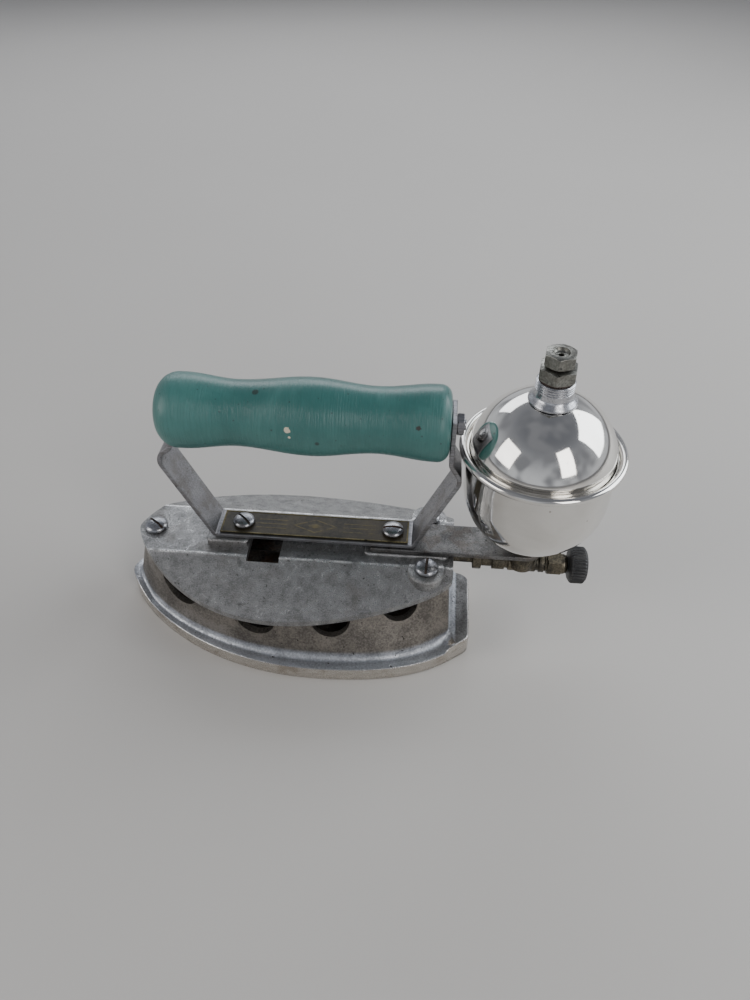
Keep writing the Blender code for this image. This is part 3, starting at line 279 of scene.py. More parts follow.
def base_finish():
    f = Finish("base cast iron", 0.4, 0.9)
    tree = f.tree
    skin = f.group(CAST_SKIN, Grain=1000.0, Pits=0.45)
    step = maths(tree, "ADD", remap(tree, f.x, *HEEL_STEP_X, 0.0, HEEL_RISE),
                 remap(tree, f.x, *NOSE_STEP_X, 0.0, NOSE_RISE))
    level = maths(tree, "SUBTRACT", f.z, step)
    band = remap(tree, level, BAND_HEIGHT + 0.1 * MM, BAND_HEIGHT - 0.5 * MM)
    wall = remap(tree, level, BAND_HEIGHT + 0.7 * COVE_HIGH, BAND_HEIGHT + 1.5 * COVE_HIGH)
    heel_top = maths(tree, "MULTIPLY", remap(tree, f.x, 80.0 * MM, 81.5 * MM),
                     maths(tree, "SUBTRACT", 1.0, band))
    lines = f.group(FINE_LINES, Stretch=(0.05, 0.05, 1.0), Scale=3200.0)["Tone"]
    cast = blend_colour(tree, skin["Tone"], (0.26, 0.27, 0.29), (0.56, 0.58, 0.62))
    wall_colour = blend_colour(tree, skin["Tone"], (0.11, 0.10, 0.09), (0.28, 0.255, 0.225))
    colour = blend_colour(tree, wall, cast, wall_colour)
    heel_tone = blend_colour(tree, skin["Tone"], (0.07, 0.07, 0.07), (0.20, 0.20, 0.20))
    colour = blend_colour(tree, heel_top, colour, heel_tone)
    colour = blend_colour(tree, skin["Pits"], colour, (0.03, 0.027, 0.025))
    polished = blend_colour(tree, lines, (0.46, 0.43, 0.39), (0.62, 0.59, 0.54))
    stain = f.group(PATCHES, Scale=70.0, Low=0.52, High=0.7)["Mask"]
    polished = blend_colour(tree, maths(tree, "MULTIPLY", stain, 0.6), polished, (0.32, 0.27, 0.22))
    colour = blend_colour(tree, band, colour, polished)
    f.feed("Base Color", colour)
    rough = remap(tree, skin["Tone"], 0.0, 1.0, 0.46, 0.30)
    rough = maths(tree, "SUBTRACT", rough, maths(tree, "MULTIPLY", band, 0.16))
    f.feed("Roughness", rough)
    f.bump(maths(tree, "MULTIPLY", skin["Height"], remap(tree, band, 0.0, 1.0, 1.0, 0.12)), 0.35 * MM, 0.6)
    return f.material


BASE_FINISH = base_finish()
print("material:", BASE_FINISH.name)

# %% [markdown]
# ## Steel, nickel and brass
# The strap and the screws are steel with worn nickel on them. The tank is bright nickel, almost a
# mirror, with faint polishing marks. The fittings under the tank are brass that has gone dark
# brown from heat, and paler where a spanner has touched it. They differ in colour, roughness and
# marks, so one function makes them all from those values.

# %% A worn metal from its colours
def worn_metal(name, dark, light, rough, grain=1200.0, pits=0.3, marks=None, depth=0.12 * MM, metallic=0.95,
               stain=None, stain_share=0.5):
    f = Finish(name, sum(rough) / 2, metallic)
    skin = f.group(CAST_SKIN, Grain=grain, Pits=pits)
    tone = skin["Tone"]
    if marks:
        lines = f.group(FINE_LINES, Stretch=marks, Scale=2400.0)["Tone"]
        tone = maths(f.tree, "ADD", maths(f.tree, "MULTIPLY", tone, 0.4),
                     maths(f.tree, "MULTIPLY", lines, 0.6))
    colour = blend_colour(f.tree, tone, dark, light)
    if stain:
        patch = f.group(PATCHES, Scale=120.0, Low=0.45, High=0.65)["Mask"]
        colour = blend_colour(f.tree, maths(f.tree, "MULTIPLY", patch, stain_share), colour, stain)
    colour = blend_colour(f.tree, skin["Pits"], colour, tuple(0.2 * c for c in dark))
    f.feed("Base Color", colour)
    f.feed("Roughness", remap(f.tree, tone, 0.0, 1.0, rough[1], rough[0]))
    f.bump(skin["Height"], depth, 0.4)
    return f.material


ALONG_X = (0.04, 1.0, 1.0)
STRAP_STEEL = worn_metal("strap steel", (0.17, 0.17, 0.18), (0.36, 0.36, 0.38), (0.28, 0.44),
                         marks=ALONG_X, pits=0.42, stain=(0.14, 0.12, 0.10), stain_share=0.4)
SCREW_STEEL = worn_metal("screw nickel", (0.20, 0.205, 0.22), (0.46, 0.47, 0.50), (0.22, 0.36),
                         pits=0.35, stain=(0.14, 0.12, 0.10))
BRACKET_IRON = worn_metal("bracket iron", (0.10, 0.10, 0.10), (0.24, 0.235, 0.23), (0.32, 0.50), grain=1500.0,
                          pits=0.5, depth=0.2 * MM, stain=(0.12, 0.095, 0.075), stain_share=0.45)
HEX_NICKEL = worn_metal("tarnished nickel", (0.13, 0.13, 0.12), (0.34, 0.34, 0.31), (0.28, 0.46),
                        pits=0.45, stain=(0.09, 0.08, 0.065))
NECK_NICKEL = worn_metal("dull nickel", (0.34, 0.34, 0.36), (0.58, 0.59, 0.62), (0.18, 0.32), pits=0.3,
                         depth=0.05 * MM, stain=(0.20, 0.20, 0.21))
DARK_BRASS = worn_metal("oxidised brass", (0.055, 0.05, 0.04), (0.19, 0.165, 0.12), (0.30, 0.50),
                        pits=0.4, stain=(0.04, 0.038, 0.036), stain_share=0.6)
SOOT_AND_SLOT_SHADE = worn_metal("soot and slot shade", (0.035, 0.032, 0.03), (0.13, 0.115, 0.10), (0.55, 0.75), grain=800.0,
                        pits=0.5, depth=0.3 * MM, metallic=0.5, stain=(0.16, 0.075, 0.035), stain_share=0.5)
print("worn metals made")

# %% Bright nickel for the tank
def tank_finish():
    """Mirror plate: nearly smooth, with faint polishing marks, haze in patches and a few dark specks."""
    f = Finish("bright nickel", 0.08, 1.0)
    haze = f.group(PATCHES, Scale=35.0, Low=0.42, High=0.72)["Mask"]
    lines = f.group(FINE_LINES, Stretch=(1.0, 1.0, 0.25), Scale=2600.0)["Tone"]
    specks = f.group(SPECKS, Scale=240.0, Size=0.16)["Mask"]
    colour = blend_colour(f.tree, haze, (0.80, 0.785, 0.755), (0.72, 0.70, 0.665))
    colour = blend_colour(f.tree, maths(f.tree, "MULTIPLY", specks, 0.55), colour, (0.16, 0.13, 0.10))
    f.feed("Base Color", colour)
    rough = maths(f.tree, "ADD", remap(f.tree, haze, 0.0, 1.0, 0.055, 0.12), maths(
        f.tree, "MULTIPLY", lines, 0.03))
    f.feed("Roughness", rough)
    wave = f.group(PATCHES, Scale=28.0, Low=0.2, High=0.8)["Mask"]
    f.bump(wave, 0.12 * MM, 0.25)
    return f.material


TANK_NICKEL = tank_finish()
print("material:", TANK_NICKEL.name)

# %% [markdown]
# ## Paint, enamel and black plastic
# The grip is turned wood under an old blue-green enamel: a soft satin sheen over faint turning
# ridges, with dark knocks and two chips that show a cream undercoat. The nameplate is dark enamel on
# brass. It carries a plain border and a simple ornament only. The knob is hard black plastic.

# %% The grip's paint
GRIP_AXIS_Z = 116.5 * MM


def grip_finish():
    f = Finish("green enamel", 0.34, 0.0)
    tree = f.tree
    worn = f.group(PATCHES, Scale=32.0, Low=0.40, High=0.66)["Mask"]
    brush = f.group(FINE_LINES, Stretch=(1.0, 0.06, 0.06), Scale=1700.0)["Tone"]
    knocks = f.group(SPECKS, Scale=110.0, Size=0.20)["Mask"]
    small = f.group(SPECKS, Scale=520.0, Size=0.22)["Mask"]
    colour = blend_colour(tree, worn, (0.036, 0.135, 0.125), (0.055, 0.180, 0.166))
    colour = blend_colour(tree, maths(tree, "MULTIPLY", brush, 0.3), colour, (0.026, 0.115, 0.102))
    colour = blend_colour(tree, maths(tree, "MULTIPLY", small, 0.7), colour, (0.015, 0.035, 0.032))
    colour = blend_colour(tree, maths(tree, "MULTIPLY", knocks, 0.75), colour, (0.02, 0.025, 0.022))
    for place, size, tint in CHIPS:
        away = add(tree, "ShaderNodeVectorMath", {0: f.place, 1: place},
                   operation="DISTANCE").outputs["Value"]
        ragged = add(tree, "ShaderNodeTexNoise",
                     {"Vector": f.place, "Scale": 900.0, "Detail": 3.0}).outputs["Fac"]
        away = maths(tree, "ADD", away, maths(tree, "MULTIPLY", maths(tree, "SUBTRACT", ragged, 0.5), size))
        colour = blend_colour(tree, remap(tree, away, size, 0.85 * size), colour, tint)
    f.feed("Base Color", colour)
    f.feed("Roughness", remap(tree, worn, 0.0, 1.0, 0.30, 0.42))
    f.shader.inputs["Coat Weight"].default_value = 0.25
    f.shader.inputs["Coat Roughness"].default_value = 0.3
    ridges = add(tree, "ShaderNodeTexWave", {"Vector": f.place, "Scale": 260.0, "Distortion": 0.6,
                                             "Detail": 2.0, "Detail Scale": 2.0},
                 wave_type="BANDS", bands_direction="X").outputs["Fac"]
    height = maths(tree, "ADD", maths(tree, "MULTIPLY", ridges, 0.35), brush)
    f.bump(height, 0.12 * MM, 0.55)
    return f.material


def on_grip(x, radius, degrees):
    """A place on the grip's skin: 0 degrees faces the ground, 90 faces -Y."""
    a = math.radians(degrees)
    return (x, -radius * math.sin(a), GRIP_AXIS_Z - radius * math.cos(a))


CREAM, DARK_KNOCK = (0.62, 0.55, 0.42), (0.03, 0.03, 0.025)
CHIPS = [(on_grip(5.0 * MM, 16.6 * MM, 105), 1.5 * MM, CREAM),
         (on_grip(5.8 * MM, 16.6 * MM, 94), 0.7 * MM, CREAM),
         (on_grip(58.0 * MM, 14.6 * MM, 118), 1.7 * MM, DARK_KNOCK),
         (on_grip(-50.0 * MM, 15.6 * MM, 160), 1.2 * MM, DARK_KNOCK)]
GRIP_PAINT = grip_finish()
print("material:", GRIP_PAINT.name)

# %% Plate border, knob plastic and fibre
def knob_finish():
    f = Finish("black plastic", 0.5, 0.0)
    dust = f.group(PATCHES, Scale=220.0, Low=0.45, High=0.7)["Mask"]
    f.feed("Base Color", blend_colour(f.tree, dust, (0.012, 0.012, 0.013), (0.035, 0.034, 0.033)))
    f.feed("Roughness", remap(f.tree, dust, 0.0, 1.0, 0.42, 0.62))
    f.bump(f.group(CAST_SKIN, Grain=1600.0, Pits=0.1)["Height"], 0.05 * MM, 0.3)
    return f.material


PLATE_BRASS = worn_metal("plate brass", (0.055, 0.048, 0.028), (0.17, 0.145, 0.075), (0.32, 0.50), pits=0.4,
                         stain=(0.04, 0.035, 0.025))
KNOB_PLASTIC = knob_finish()
FIBRE = worn_metal("brown fibre", (0.03, 0.02, 0.015), (0.09, 0.055, 0.04), (0.6, 0.8), metallic=0.0)
print("brass, plastic and fibre made")

# %% [markdown]
# ## Making shapes
# Most of the iron's parts were turned, cast or bent. A turned part is an outline spun round its
# axis, with each corner rounded a little, because no real corner is perfectly sharp. A casting is a
# stack of closed rings with a skin bridged between them. Holes and slots are cut with Booleans.

# %% Turning and rounding
def softened(corners, steps=4):
    """Points of an outline from (radius, height, rounding) corners."""
    points = []
    for i, (r, h, size) in enumerate(corners):
        if size == 0 or i in (0, len(corners) - 1):
            points.append((r, h))
            continue
        p = Vector((r, h))
        u = Vector(corners[i - 1][:2]) - p
        v = Vector(corners[i + 1][:2]) - p
        reach = min(size, 0.49 * u.length, 0.49 * v.length)
        a = p + u.normalized() * reach
        b = p + v.normalized() * reach
        for k in range(steps + 1):
            t = k / steps
            points.append(tuple(a * (1 - t) ** 2 + p * (2 * t * (1 - t)) + b * t * t))
    return points


def arc(centre, radius, start, end, steps):
    """Points on an arc, with angles in degrees from the outward direction."""
    turn = [math.radians(start + (end - start) * i / steps) for i in range(steps + 1)]
    return [(centre[0] + radius * math.cos(a), centre[1] + radius * math.sin(a)) for a in turn]


def turned(points, axis="Z", place=(0.0, 0.0, 0.0), steps=64, closed=False):
    """Spin an outline of (radius, height) points round an axis."""
    bm = bmesh.new()
    verts = [bm.verts.new((r, 0.0, h)) for r, h in points]
    edges = [bm.edges.new(pair) for pair in zip(verts, verts[1:])]
    if closed:
        edges.append(bm.edges.new((verts[-1], verts[0])))
    bmesh.ops.spin(bm, geom=verts + edges, cent=(0, 0, 0), axis=(0, 0, 1), angle=math.tau, steps=steps,
                   use_merge=True)
    bmesh.ops.remove_doubles(bm, verts=bm.verts, dist=0.0005 * MM)
    if axis == "X":
        bmesh.ops.rotate(bm, verts=bm.verts, cent=(0, 0, 0), matrix=Matrix.Rotation(math.pi / 2, 3, "Y"))
    bmesh.ops.translate(bm, verts=bm.verts, vec=place)
    bmesh.ops.recalc_face_normals(bm, faces=bm.faces)
    return bm


def rod(radius, low, high, axis="Z", place=(0.0, 0.0, 0.0), steps=48):
    return turned([(0.0, low), (radius, low), (radius, high), (0.0, high)], axis, place, steps)


def block(x, y, z):
    """A box from three (low, high) pairs."""
    bm = bmesh.new()
    size = Matrix.Diagonal((x[1] - x[0], y[1] - y[0], z[1] - z[0], 1.0))
    middle = Vector((sum(x) / 2, sum(y) / 2, sum(z) / 2))
    bmesh.ops.create_cube(bm, size=1.0, matrix=Matrix.Translation(middle) @ size)
    return bm


print("turning helpers ready")

# %% Bridging rings
def bridged(rings, caps=(True, True), second_from=None):
    """A skin between closed rings of points, with its ends filled. From one ring on, slot 1 is used."""
    bm = bmesh.new()
    loops = []
    for points in rings:
        verts = [bm.verts.new(p) for p in points]
        loops.append([bm.edges.new((verts[i - 1], verts[i])) for i in range(len(verts))])
    for i, (low, high) in enumerate(zip(loops, loops[1:])):
        made = bmesh.ops.bridge_loops(bm, edges=low + high)["faces"]
        for face in made:
            face.material_index = int(second_from is not None and i >= second_from)
    for wanted, loop in zip(caps, (loops[0], loops[-1])):
        if wanted:
            bmesh.ops.edgeloop_fill(bm, edges=loop, mat_nr=int(second_from is not None and loop is loops[-1]))
    bmesh.ops.recalc_face_normals(bm, faces=bm.faces)
    return bm


# %% From a mesh in the making to a finished piece
def as_object(name, bm, finish=None):
    mesh = bpy.data.meshes.new(name)
    bm.to_mesh(mesh)
    bm.free()
    obj = bpy.data.objects.new(name, mesh)
    bpy.context.scene.collection.objects.link(obj)
    if finish:
        mesh.materials.append(finish)
    return obj


def carved(obj, tools, operation="DIFFERENCE"):
    """Apply Booleans one after another and throw the tools away."""
    for bm in tools:
        tool = as_object("tool", bm)
        cut = obj.modifiers.new("cut", "BOOLEAN")
        cut.operation = operation
        cut.solver = "EXACT"
        cut.object = tool
        shape = bpy.data.meshes.new_from_object(obj.evaluated_get(bpy.context.evaluated_depsgraph_get()))
        obj.modifiers.remove(cut)
        used = obj.data
        obj.data = shape
        bpy.data.meshes.remove(used)
        bpy.data.objects.remove(tool, do_unlink=True)
    return obj


def tidy_faces(obj, angle=0.4):
    """Join the slivers that Booleans leave in flat faces, so that a bevel runs cleanly."""
    bm = bmesh.new()
    bm.from_mesh(obj.data)
    bmesh.ops.remove_doubles(bm, verts=bm.verts, dist=0.004 * MM)
    bmesh.ops.dissolve_limit(bm, angle_limit=math.radians(angle), verts=bm.verts, edges=bm.edges,
                             delimit={"MATERIAL"})
    bm.to_mesh(obj.data)
    bm.free()
    return obj


def finished(obj, body, node, edge=0.0, limit=30.0, segments=3, sharp=38.0):
    """Round the edges, shade smoothly, hide the CAD node, and tie the piece to its body."""
    if edge:
        bevel = obj.modifiers.new("edges", "BEVEL")
        bevel.width = edge
        bevel.segments = segments
        bevel.limit_method = "ANGLE"
        bevel.angle_limit = math.radians(limit)
        bevel.use_clamp_overlap = True
        bevel.harden_normals = False
    obj.data.shade_smooth()
    obj.data.set_sharp_from_angle(angle=math.radians(sharp))
    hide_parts(node)
    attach(obj, body)
    print(f"{obj.name}: {len(obj.data.polygons)} faces, rides on {body}")
    return obj


# %% [markdown]
# ## The base casting
# The base is one hollow casting shaped like a boat. From the cloth upwards it has a polished band,
# a ledge with a cove, a leaning wall, and four half-moon vents a side that the cover closes from
# above. Its outline in plan is a few Bezier curves: a blunt nose, full sides and a straight heel.
# Rings at different heights are blends between three such outlines, so the wall leans smoothly.

# %% Outlines in plan
def bezier(a, b, c, d, steps):
    share = [i / steps for i in range(steps)]
    return [tuple((1 - t) ** 3 * a[k] + 3 * (1 - t) ** 2 * t * b[k] + 3 * (1 - t) * t * t * c[k] + t**3 * d[k]
                  for k in (0, 1)) for t in share]


def boat(nose_x, heel_x, wide_x, width, heel_width, pulls, corner):
    """Closed outline from the nose round to the heel and back."""
    half, heel = width / 2, heel_width / 2
    nose_pull, fore_pull, aft_pull = pulls
    aft_end = (heel_x - corner, heel + 0.75 * corner)
    side = bezier((nose_x, 0.0), (nose_x, nose_pull), (wide_x - fore_pull, half), (wide_x, half), 40)
    side += bezier((wide_x, half), (wide_x + aft_pull, half), (aft_end[0] - 10 * MM, aft_end[1] + 7.5 * MM),
                   aft_end, 26)
    side += bezier(aft_end, (heel_x, heel), (heel_x, heel), (heel_x, heel - corner), 8)
    side += [(heel_x, heel - corner), (heel_x, 0.6 * heel), (heel_x, 0.2 * heel)]
    return side + [(x, -y) for x, y in reversed(side[1:])]


def between(first, second, share):
    return [(a[0] + (b[0] - a[0]) * share, a[1] + (b[1] - a[1]) * share) for a, b in zip(first, second)]


def lifted(points, height):
    """Raise an outline to a height, given as a number or as a function of x and y."""
    return [(x, y, height(x, y) if callable(height) else height) for x, y in points]


SOLE_LENGTH, SOLE_WIDTH = 175 * MM, 104 * MM
SOLE_WIDEST_X = 13 * MM
SOLE_PULLS = (9 * MM, 64 * MM, 45 * MM)
COVER_PULLS = (6.6 * MM, 54 * MM, 29 * MM)
COVER_THICK = 3 * MM
GAP = 0.3 * MM


def sole_plan():
    return boat(-SOLE_LENGTH / 2, SOLE_LENGTH / 2, SOLE_WIDEST_X, SOLE_WIDTH, 60 * MM, SOLE_PULLS, 5 * MM)


def wall_foot_plan(inside=0.0):
    return boat(-82 * MM + inside, 77.5 * MM - inside, SOLE_WIDEST_X, 90 * MM - 2 * inside,
                54 * MM - 2 * inside, SOLE_PULLS, 2 * MM)


def cover_plan(inside=0.0):
    return boat(-77 * MM + inside, 77.5 * MM - inside, -3.6 * MM, 86 * MM - 2 * inside,
                42 * MM - 2 * inside, COVER_PULLS, 3 * MM)


def roof(x, y):
    """The cover's top: a flat middle that falls away outside the ridge lines."""
    return COVER_TOP_Z - ROOF_SLOPE * max(abs(y) - RIDGE_HALF, 0.0)


print("points round the sole:", len(sole_plan()))

# %% The casting's rings
def climb(x, ends, rise):
    """A smooth climb between two places along the iron."""
    share = min(max((x - ends[0]) / (ends[1] - ends[0]), 0.0), 1.0)
    return rise * share * share * (3 - 2 * share)


def ledge(amount=0.0):
    return lambda x, y: (BAND_HEIGHT + climb(x, HEEL_STEP_X, HEEL_RISE) + climb(x, NOSE_STEP_X, NOSE_RISE)
                         + amount)


def under_cover(x, y):
    return roof(x, y) - COVER_THICK - GAP


def base_rings():
    sole, foot, top = sole_plan(), wall_foot_plan(), cover_plan(1.8 * MM)
    rings = [lifted(between(sole, foot, share), z) for share, z in
             ((0.12, 0.0), (0.05, 0.15 * MM), (0.0, 0.8 * MM), (0.0, 4 * MM))]
    rings += [lifted(sole, ledge(-0.8 * MM)), lifted(between(sole, foot, 0.03), ledge(-0.25 * MM)),
              lifted(between(sole, foot, 0.1), ledge())]
    for i in range(9):
        turn = math.radians(90 * i / 8)
        rings.append(lifted(between(sole, foot, 0.55 + 0.45 * math.sin(turn)),
                            ledge(COVE_HIGH * (1 - math.cos(turn)))))
    for share in (0.25, 0.5, 0.75, 1.0):
        foot_z = ledge(COVE_HIGH)
        rings.append(lifted(between(foot, top, share),
                            lambda x, y, s=share: foot_z(x, y) * (1 - s) + under_cover(x, y) * s))
    outside = len(rings)
    well_foot = wall_foot_plan(4.4 * MM)
    rings += [lifted(cover_plan(5.2 * MM), under_cover), lifted(well_foot, 14 * MM),
              lifted(between(well_foot, cover_plan(20 * MM), 0.12), 11 * MM)]
    return rings, outside


# %% The base with its vents, posts and screw holes
VENT_X = (-52 * MM, -13 * MM, 22 * MM, 53.5 * MM)
VENT_RADIUS = (11.5 * MM, 9.2 * MM, 9.2 * MM, 8.6 * MM)
VENT_DEPTH = 0.95
VALVE_Z = 35.5 * MM
COVER_SCREWS = ((-69 * MM, 0.0), (65 * MM, -17 * MM), (65 * MM, 17 * MM))


def on_side(outline, x, side):
    """The point of an outline at x on one side, and the direction that faces out of it."""
    pairs = [(a, b) for a, b in zip(outline, outline[1:] + outline[:1])
             if (a[0] - x) * (b[0] - x) <= 0 < a[1] * side and b[1] * side > 0 and a[0] != b[0]]
    a, b = pairs[-1]
    share = (x - a[0]) / (b[0] - a[0])
    return (x, a[1] + (b[1] - a[1]) * share), math.atan2(a[0] - b[0], b[1] - a[1])


def vent_tool(x, radius, side):
    place, heading = on_side(cover_plan(1.8 * MM), x, side)
    bm = rod(radius, -8 * MM, 8 * MM, "X", steps=64)
    bmesh.ops.scale(bm, verts=bm.verts, vec=(1.0, 1.0, VENT_DEPTH))
    bmesh.ops.rotate(bm, verts=bm.verts, cent=(0, 0, 0), matrix=Matrix.Rotation(heading, 3, "Z"))
    bmesh.ops.translate(bm, verts=bm.verts, vec=(*place, under_cover(*place)))
    return bm


def heel_notch():
    """The far end of the heel flange is cut short, with a rounded corner."""
    far, corner, inner_x, outer_x = 11 * MM, 7 * MM, 78.4 * MM, 92.5 * MM
    outline = [(outer_x, 60 * MM), (inner_x, 60 * MM), (inner_x, far + corner / 4)]
    outline += [(SOLE_LENGTH / 2 - corner * (1 - math.cos(a)), far - corner * (1 - math.sin(a)))
                for a in (math.radians(90 - 7.5 * i) for i in range(13))]
    outline.append((outer_x, far - corner))
    return bridged([lifted(outline, -MM), lifted(outline, 17.5 * MM)])


base_skin, outside_rings = base_rings()
base = as_object("base_casting", bridged(base_skin, second_from=outside_rings), BASE_FINISH)
base.data.materials.append(SOOT_AND_SLOT_SHADE)
post_low = 10 * MM
carved(base, [vent_tool(x, r, side) for x, r in zip(VENT_X, VENT_RADIUS) for side in (-1, 1)])
carved(base, [rod(5 * MM, post_low, roof(x, abs(y) + 5 * MM) - COVER_THICK - GAP, place=(x, y, 0.0))
              for x, y in COVER_SCREWS], "UNION")
carved(base, [rod(4.0 * MM, 65 * MM, 83 * MM, "X", (0.0, 0.0, VALVE_Z)), heel_notch()])
tidy_faces(base)
finished(base, "iron", "sole_base", edge=0.7 * MM, limit=48.0)

# %% [markdown]
# ## The cover casting
# The cover is a plate with a flat middle and two sloping sides. Solid geometry gives it crisp
# planes: a long bar with the right cross-section is cut to the boat outline. Raised pads carry the
# handle strap and the tank bracket, and two round bosses take the heel screws. A bevel then rounds
# every real edge, and leaves the small steps along the outline alone.

# %% The cover
PAD_HALF = 10.5 * MM
STRAP_TOP_Z = 50.2 * MM
STRAP_THICK = 2 * MM
BRACKET_THICK = 2.4 * MM
STRAP_UNDER = STRAP_TOP_Z - STRAP_THICK
BRACKET_UNDER = STRAP_UNDER - GAP - BRACKET_THICK
STRAP_SCREW_X = (-24.2 * MM, 48 * MM)
BOSS_TOP_Z = 44.6 * MM


def pad(x, top):
    """A raised pad with generously rounded upright corners and a soft top edge."""
    bm = block(x, (-PAD_HALF, PAD_HALF), (COVER_TOP_Z - 2.4 * MM, top))
    upright = [e for e in bm.edges if abs(e.verts[0].co.z - e.verts[1].co.z) > MM]
    bmesh.ops.bevel(bm, geom=upright, offset=2.2 * MM, segments=6, affect="EDGES", profile=0.5, material=-1)
    rim = [e for e in bm.edges if min(v.co.z for v in e.verts) > top - 0.01 * MM]
    bmesh.ops.bevel(bm, geom=rim, offset=1.1 * MM, segments=4, affect="EDGES", profile=0.5, material=-1)
    return bm


def boss(x, y):
    """A round boss whose foot follows the sloping roof."""
    circle = [(x + 9 * MM * math.cos(math.tau * i / 64), y + 9 * MM * math.sin(math.tau * i / 64))
              for i in range(64)]
    crown = between(circle, [(x, y)] * 64, 0.09)
    middle = between(circle, [(x, y)] * 64, 0.03)
    return bridged([lifted(circle, lambda a, b: roof(a, b) - 0.6 * MM), lifted(circle, BOSS_TOP_Z - 0.9 * MM),
                    lifted(middle, BOSS_TOP_Z - 0.3 * MM), lifted(crown, BOSS_TOP_Z)])


def cover_bar():
    reach = 48 * MM
    top = [(-reach, roof(0, reach)), (-RIDGE_HALF, COVER_TOP_Z), (RIDGE_HALF, COVER_TOP_Z),
           (reach, roof(0, reach))]
    section = top + [(y, z - COVER_THICK) for y, z in reversed(top)]
    return bridged([[(x, y, z) for y, z in section] for x in (-84 * MM, 83 * MM)])


cover = as_object("cover_casting", cover_bar(), COVER_FINISH)
carved(cover, [bridged([lifted(cover_plan(), 0.0), lifted(cover_plan(), 80 * MM)])], "INTERSECT")
carved(cover, [pad((-41 * MM, -20.8 * MM), STRAP_UNDER - GAP), pad((35 * MM, 75 * MM), BRACKET_UNDER - GAP)]
       + [boss(x, y) for x, y in COVER_SCREWS[1:]], "UNION")
carved(cover, [rod(2.5 * MM, 25 * MM, 60 * MM, place=(x, y, 0.0)) for x, y in COVER_SCREWS]
       + [block((-20.5 * MM, -5 * MM), (-18 * MM, 6 * MM), (30 * MM, 60 * MM))])
tidy_faces(cover)
finished(cover, "iron", "top_cover", edge=0.55 * MM, limit=22.0)

# %% [markdown]
# ## The handle strap, its plate and the tank bracket
# One steel strip is bent into the handle: up from the foot, out at a slant and straight up into the
# grip at both ends. It is a path in the XZ plane with an arc at each bend, widened into a thin
# closed ribbon. Under its rear end lies the flat bar that carries the tank.

# %% A bent strip
STRAP_WIDTH = 17 * MM
LEFT_TAB_X, GRIP_LEFT, GRIP_RIGHT = -48.8 * MM, -53.0 * MM, 71.2 * MM
RIGHT_TAB_X = GRIP_RIGHT + GAP + STRAP_THICK / 2
TAB_TOP = GRIP_AXIS_Z + 6.5 * MM


def rounded_path(corners, steps=14):
    """Points along straight runs joined by true arcs, from (x, z, radius) corners."""
    points = [Vector(corners[0][:2])]
    for before, corner, after in zip(corners, corners[1:], corners[2:]):
        p = Vector(corner[:2])
        u = (Vector(before[:2]) - p).normalized()
        v = (Vector(after[:2]) - p).normalized()
        half = u.angle(v) / 2
        centre = p + (u + v).normalized() * (corner[2] / math.sin(half))
        a = p + u * (corner[2] / math.tan(half)) - centre
        b = p + v * (corner[2] / math.tan(half)) - centre
        points += [centre + a.lerp(b, i / steps).normalized() * corner[2] for i in range(steps + 1)]
    return points + [Vector(corners[-1][:2])]


def ribbon(path, thick, width):
    """Widen a path into a strip: one side, back along the other, then across the width."""
    left, right = [], []
    for i, p in enumerate(path):
        before = (p - path[i - 1]).normalized() if i else (path[1] - p).normalized()
        after = (path[i + 1] - p).normalized() if i + 1 < len(path) else before
        normal = Vector((-(before.y + after.y), before.x + after.x)).normalized()
        reach = thick / 2 / normal.dot(Vector((-before.y, before.x)))
        left.append(p + normal * reach)
        right.append(p - normal * reach)
    outline = left + right[::-1]
    return bridged([[(p.x, y, p.y) for p in outline] for y in (-width / 2, width / 2)])


strap_z = STRAP_TOP_Z - STRAP_THICK / 2
STRAP_CORNERS = [(LEFT_TAB_X, TAB_TOP), (LEFT_TAB_X, 101.6 * MM, 4 * MM), (-57 * MM, 96 * MM, 7 * MM),
                 (-37 * MM, strap_z, 2.2 * MM), (58 * MM, strap_z, 2.2 * MM), (77.6 * MM, 91.5 * MM, 7 * MM),
                 (RIGHT_TAB_X, 100 * MM, 4 * MM), (RIGHT_TAB_X, TAB_TOP)]
strap = as_object("handle_strap_bent", ribbon(rounded_path(STRAP_CORNERS), STRAP_THICK, STRAP_WIDTH),
                  STRAP_STEEL)
carved(strap, [rod(2.5 * MM, strap_z - 4 * MM, strap_z + 4 * MM, place=(x, 0.0, 0.0)) for x in STRAP_SCREW_X]
       + [rod(2.7 * MM, LEFT_TAB_X - 4 * MM, RIGHT_TAB_X + 4 * MM, "X", (0.0, 0.0, GRIP_AXIS_Z))])
tidy_faces(strap, 0.2)
finished(strap, "iron", "handle_strap", edge=0.35 * MM, limit=40.0)

# %% The tank bracket
TANK_X = 110.8 * MM
BRACKET_HALF = 9.5 * MM


def bracket_bar():
    end = [(TANK_X + BRACKET_HALF * math.cos(a), BRACKET_HALF * math.sin(a))
           for a in (math.radians(-90 + 180 * i / 32) for i in range(33))]
    outline = [(38 * MM, -BRACKET_HALF), *end, (38 * MM, BRACKET_HALF)]
    return bridged([lifted(outline, z) for z in (BRACKET_UNDER, BRACKET_UNDER + BRACKET_THICK)])


bracket = as_object("tank_bracket_bar", bracket_bar(), BRACKET_IRON)
carved(bracket, [rod(4.5 * MM, 40 * MM, 55 * MM, place=(TANK_X, 0.0, 0.0)),
                 rod(2.5 * MM, 40 * MM, 55 * MM, place=(STRAP_SCREW_X[1], 0.0, 0.0))])
tidy_faces(bracket)
finished(bracket, "iron", "tank_bracket", edge=0.45 * MM, limit=40.0)

# %% [markdown]
# ## The nameplate
# A thin plate with a raised brass border round a dark field. Inset makes the border's inner line
# and a small drop of the inner face makes it stand proud. The ornament is generic: a lozenge with
# a dot in the middle, and three plain rules at each side. It is drawn by the material, as shallow
# etching would be, from the plate's own position.

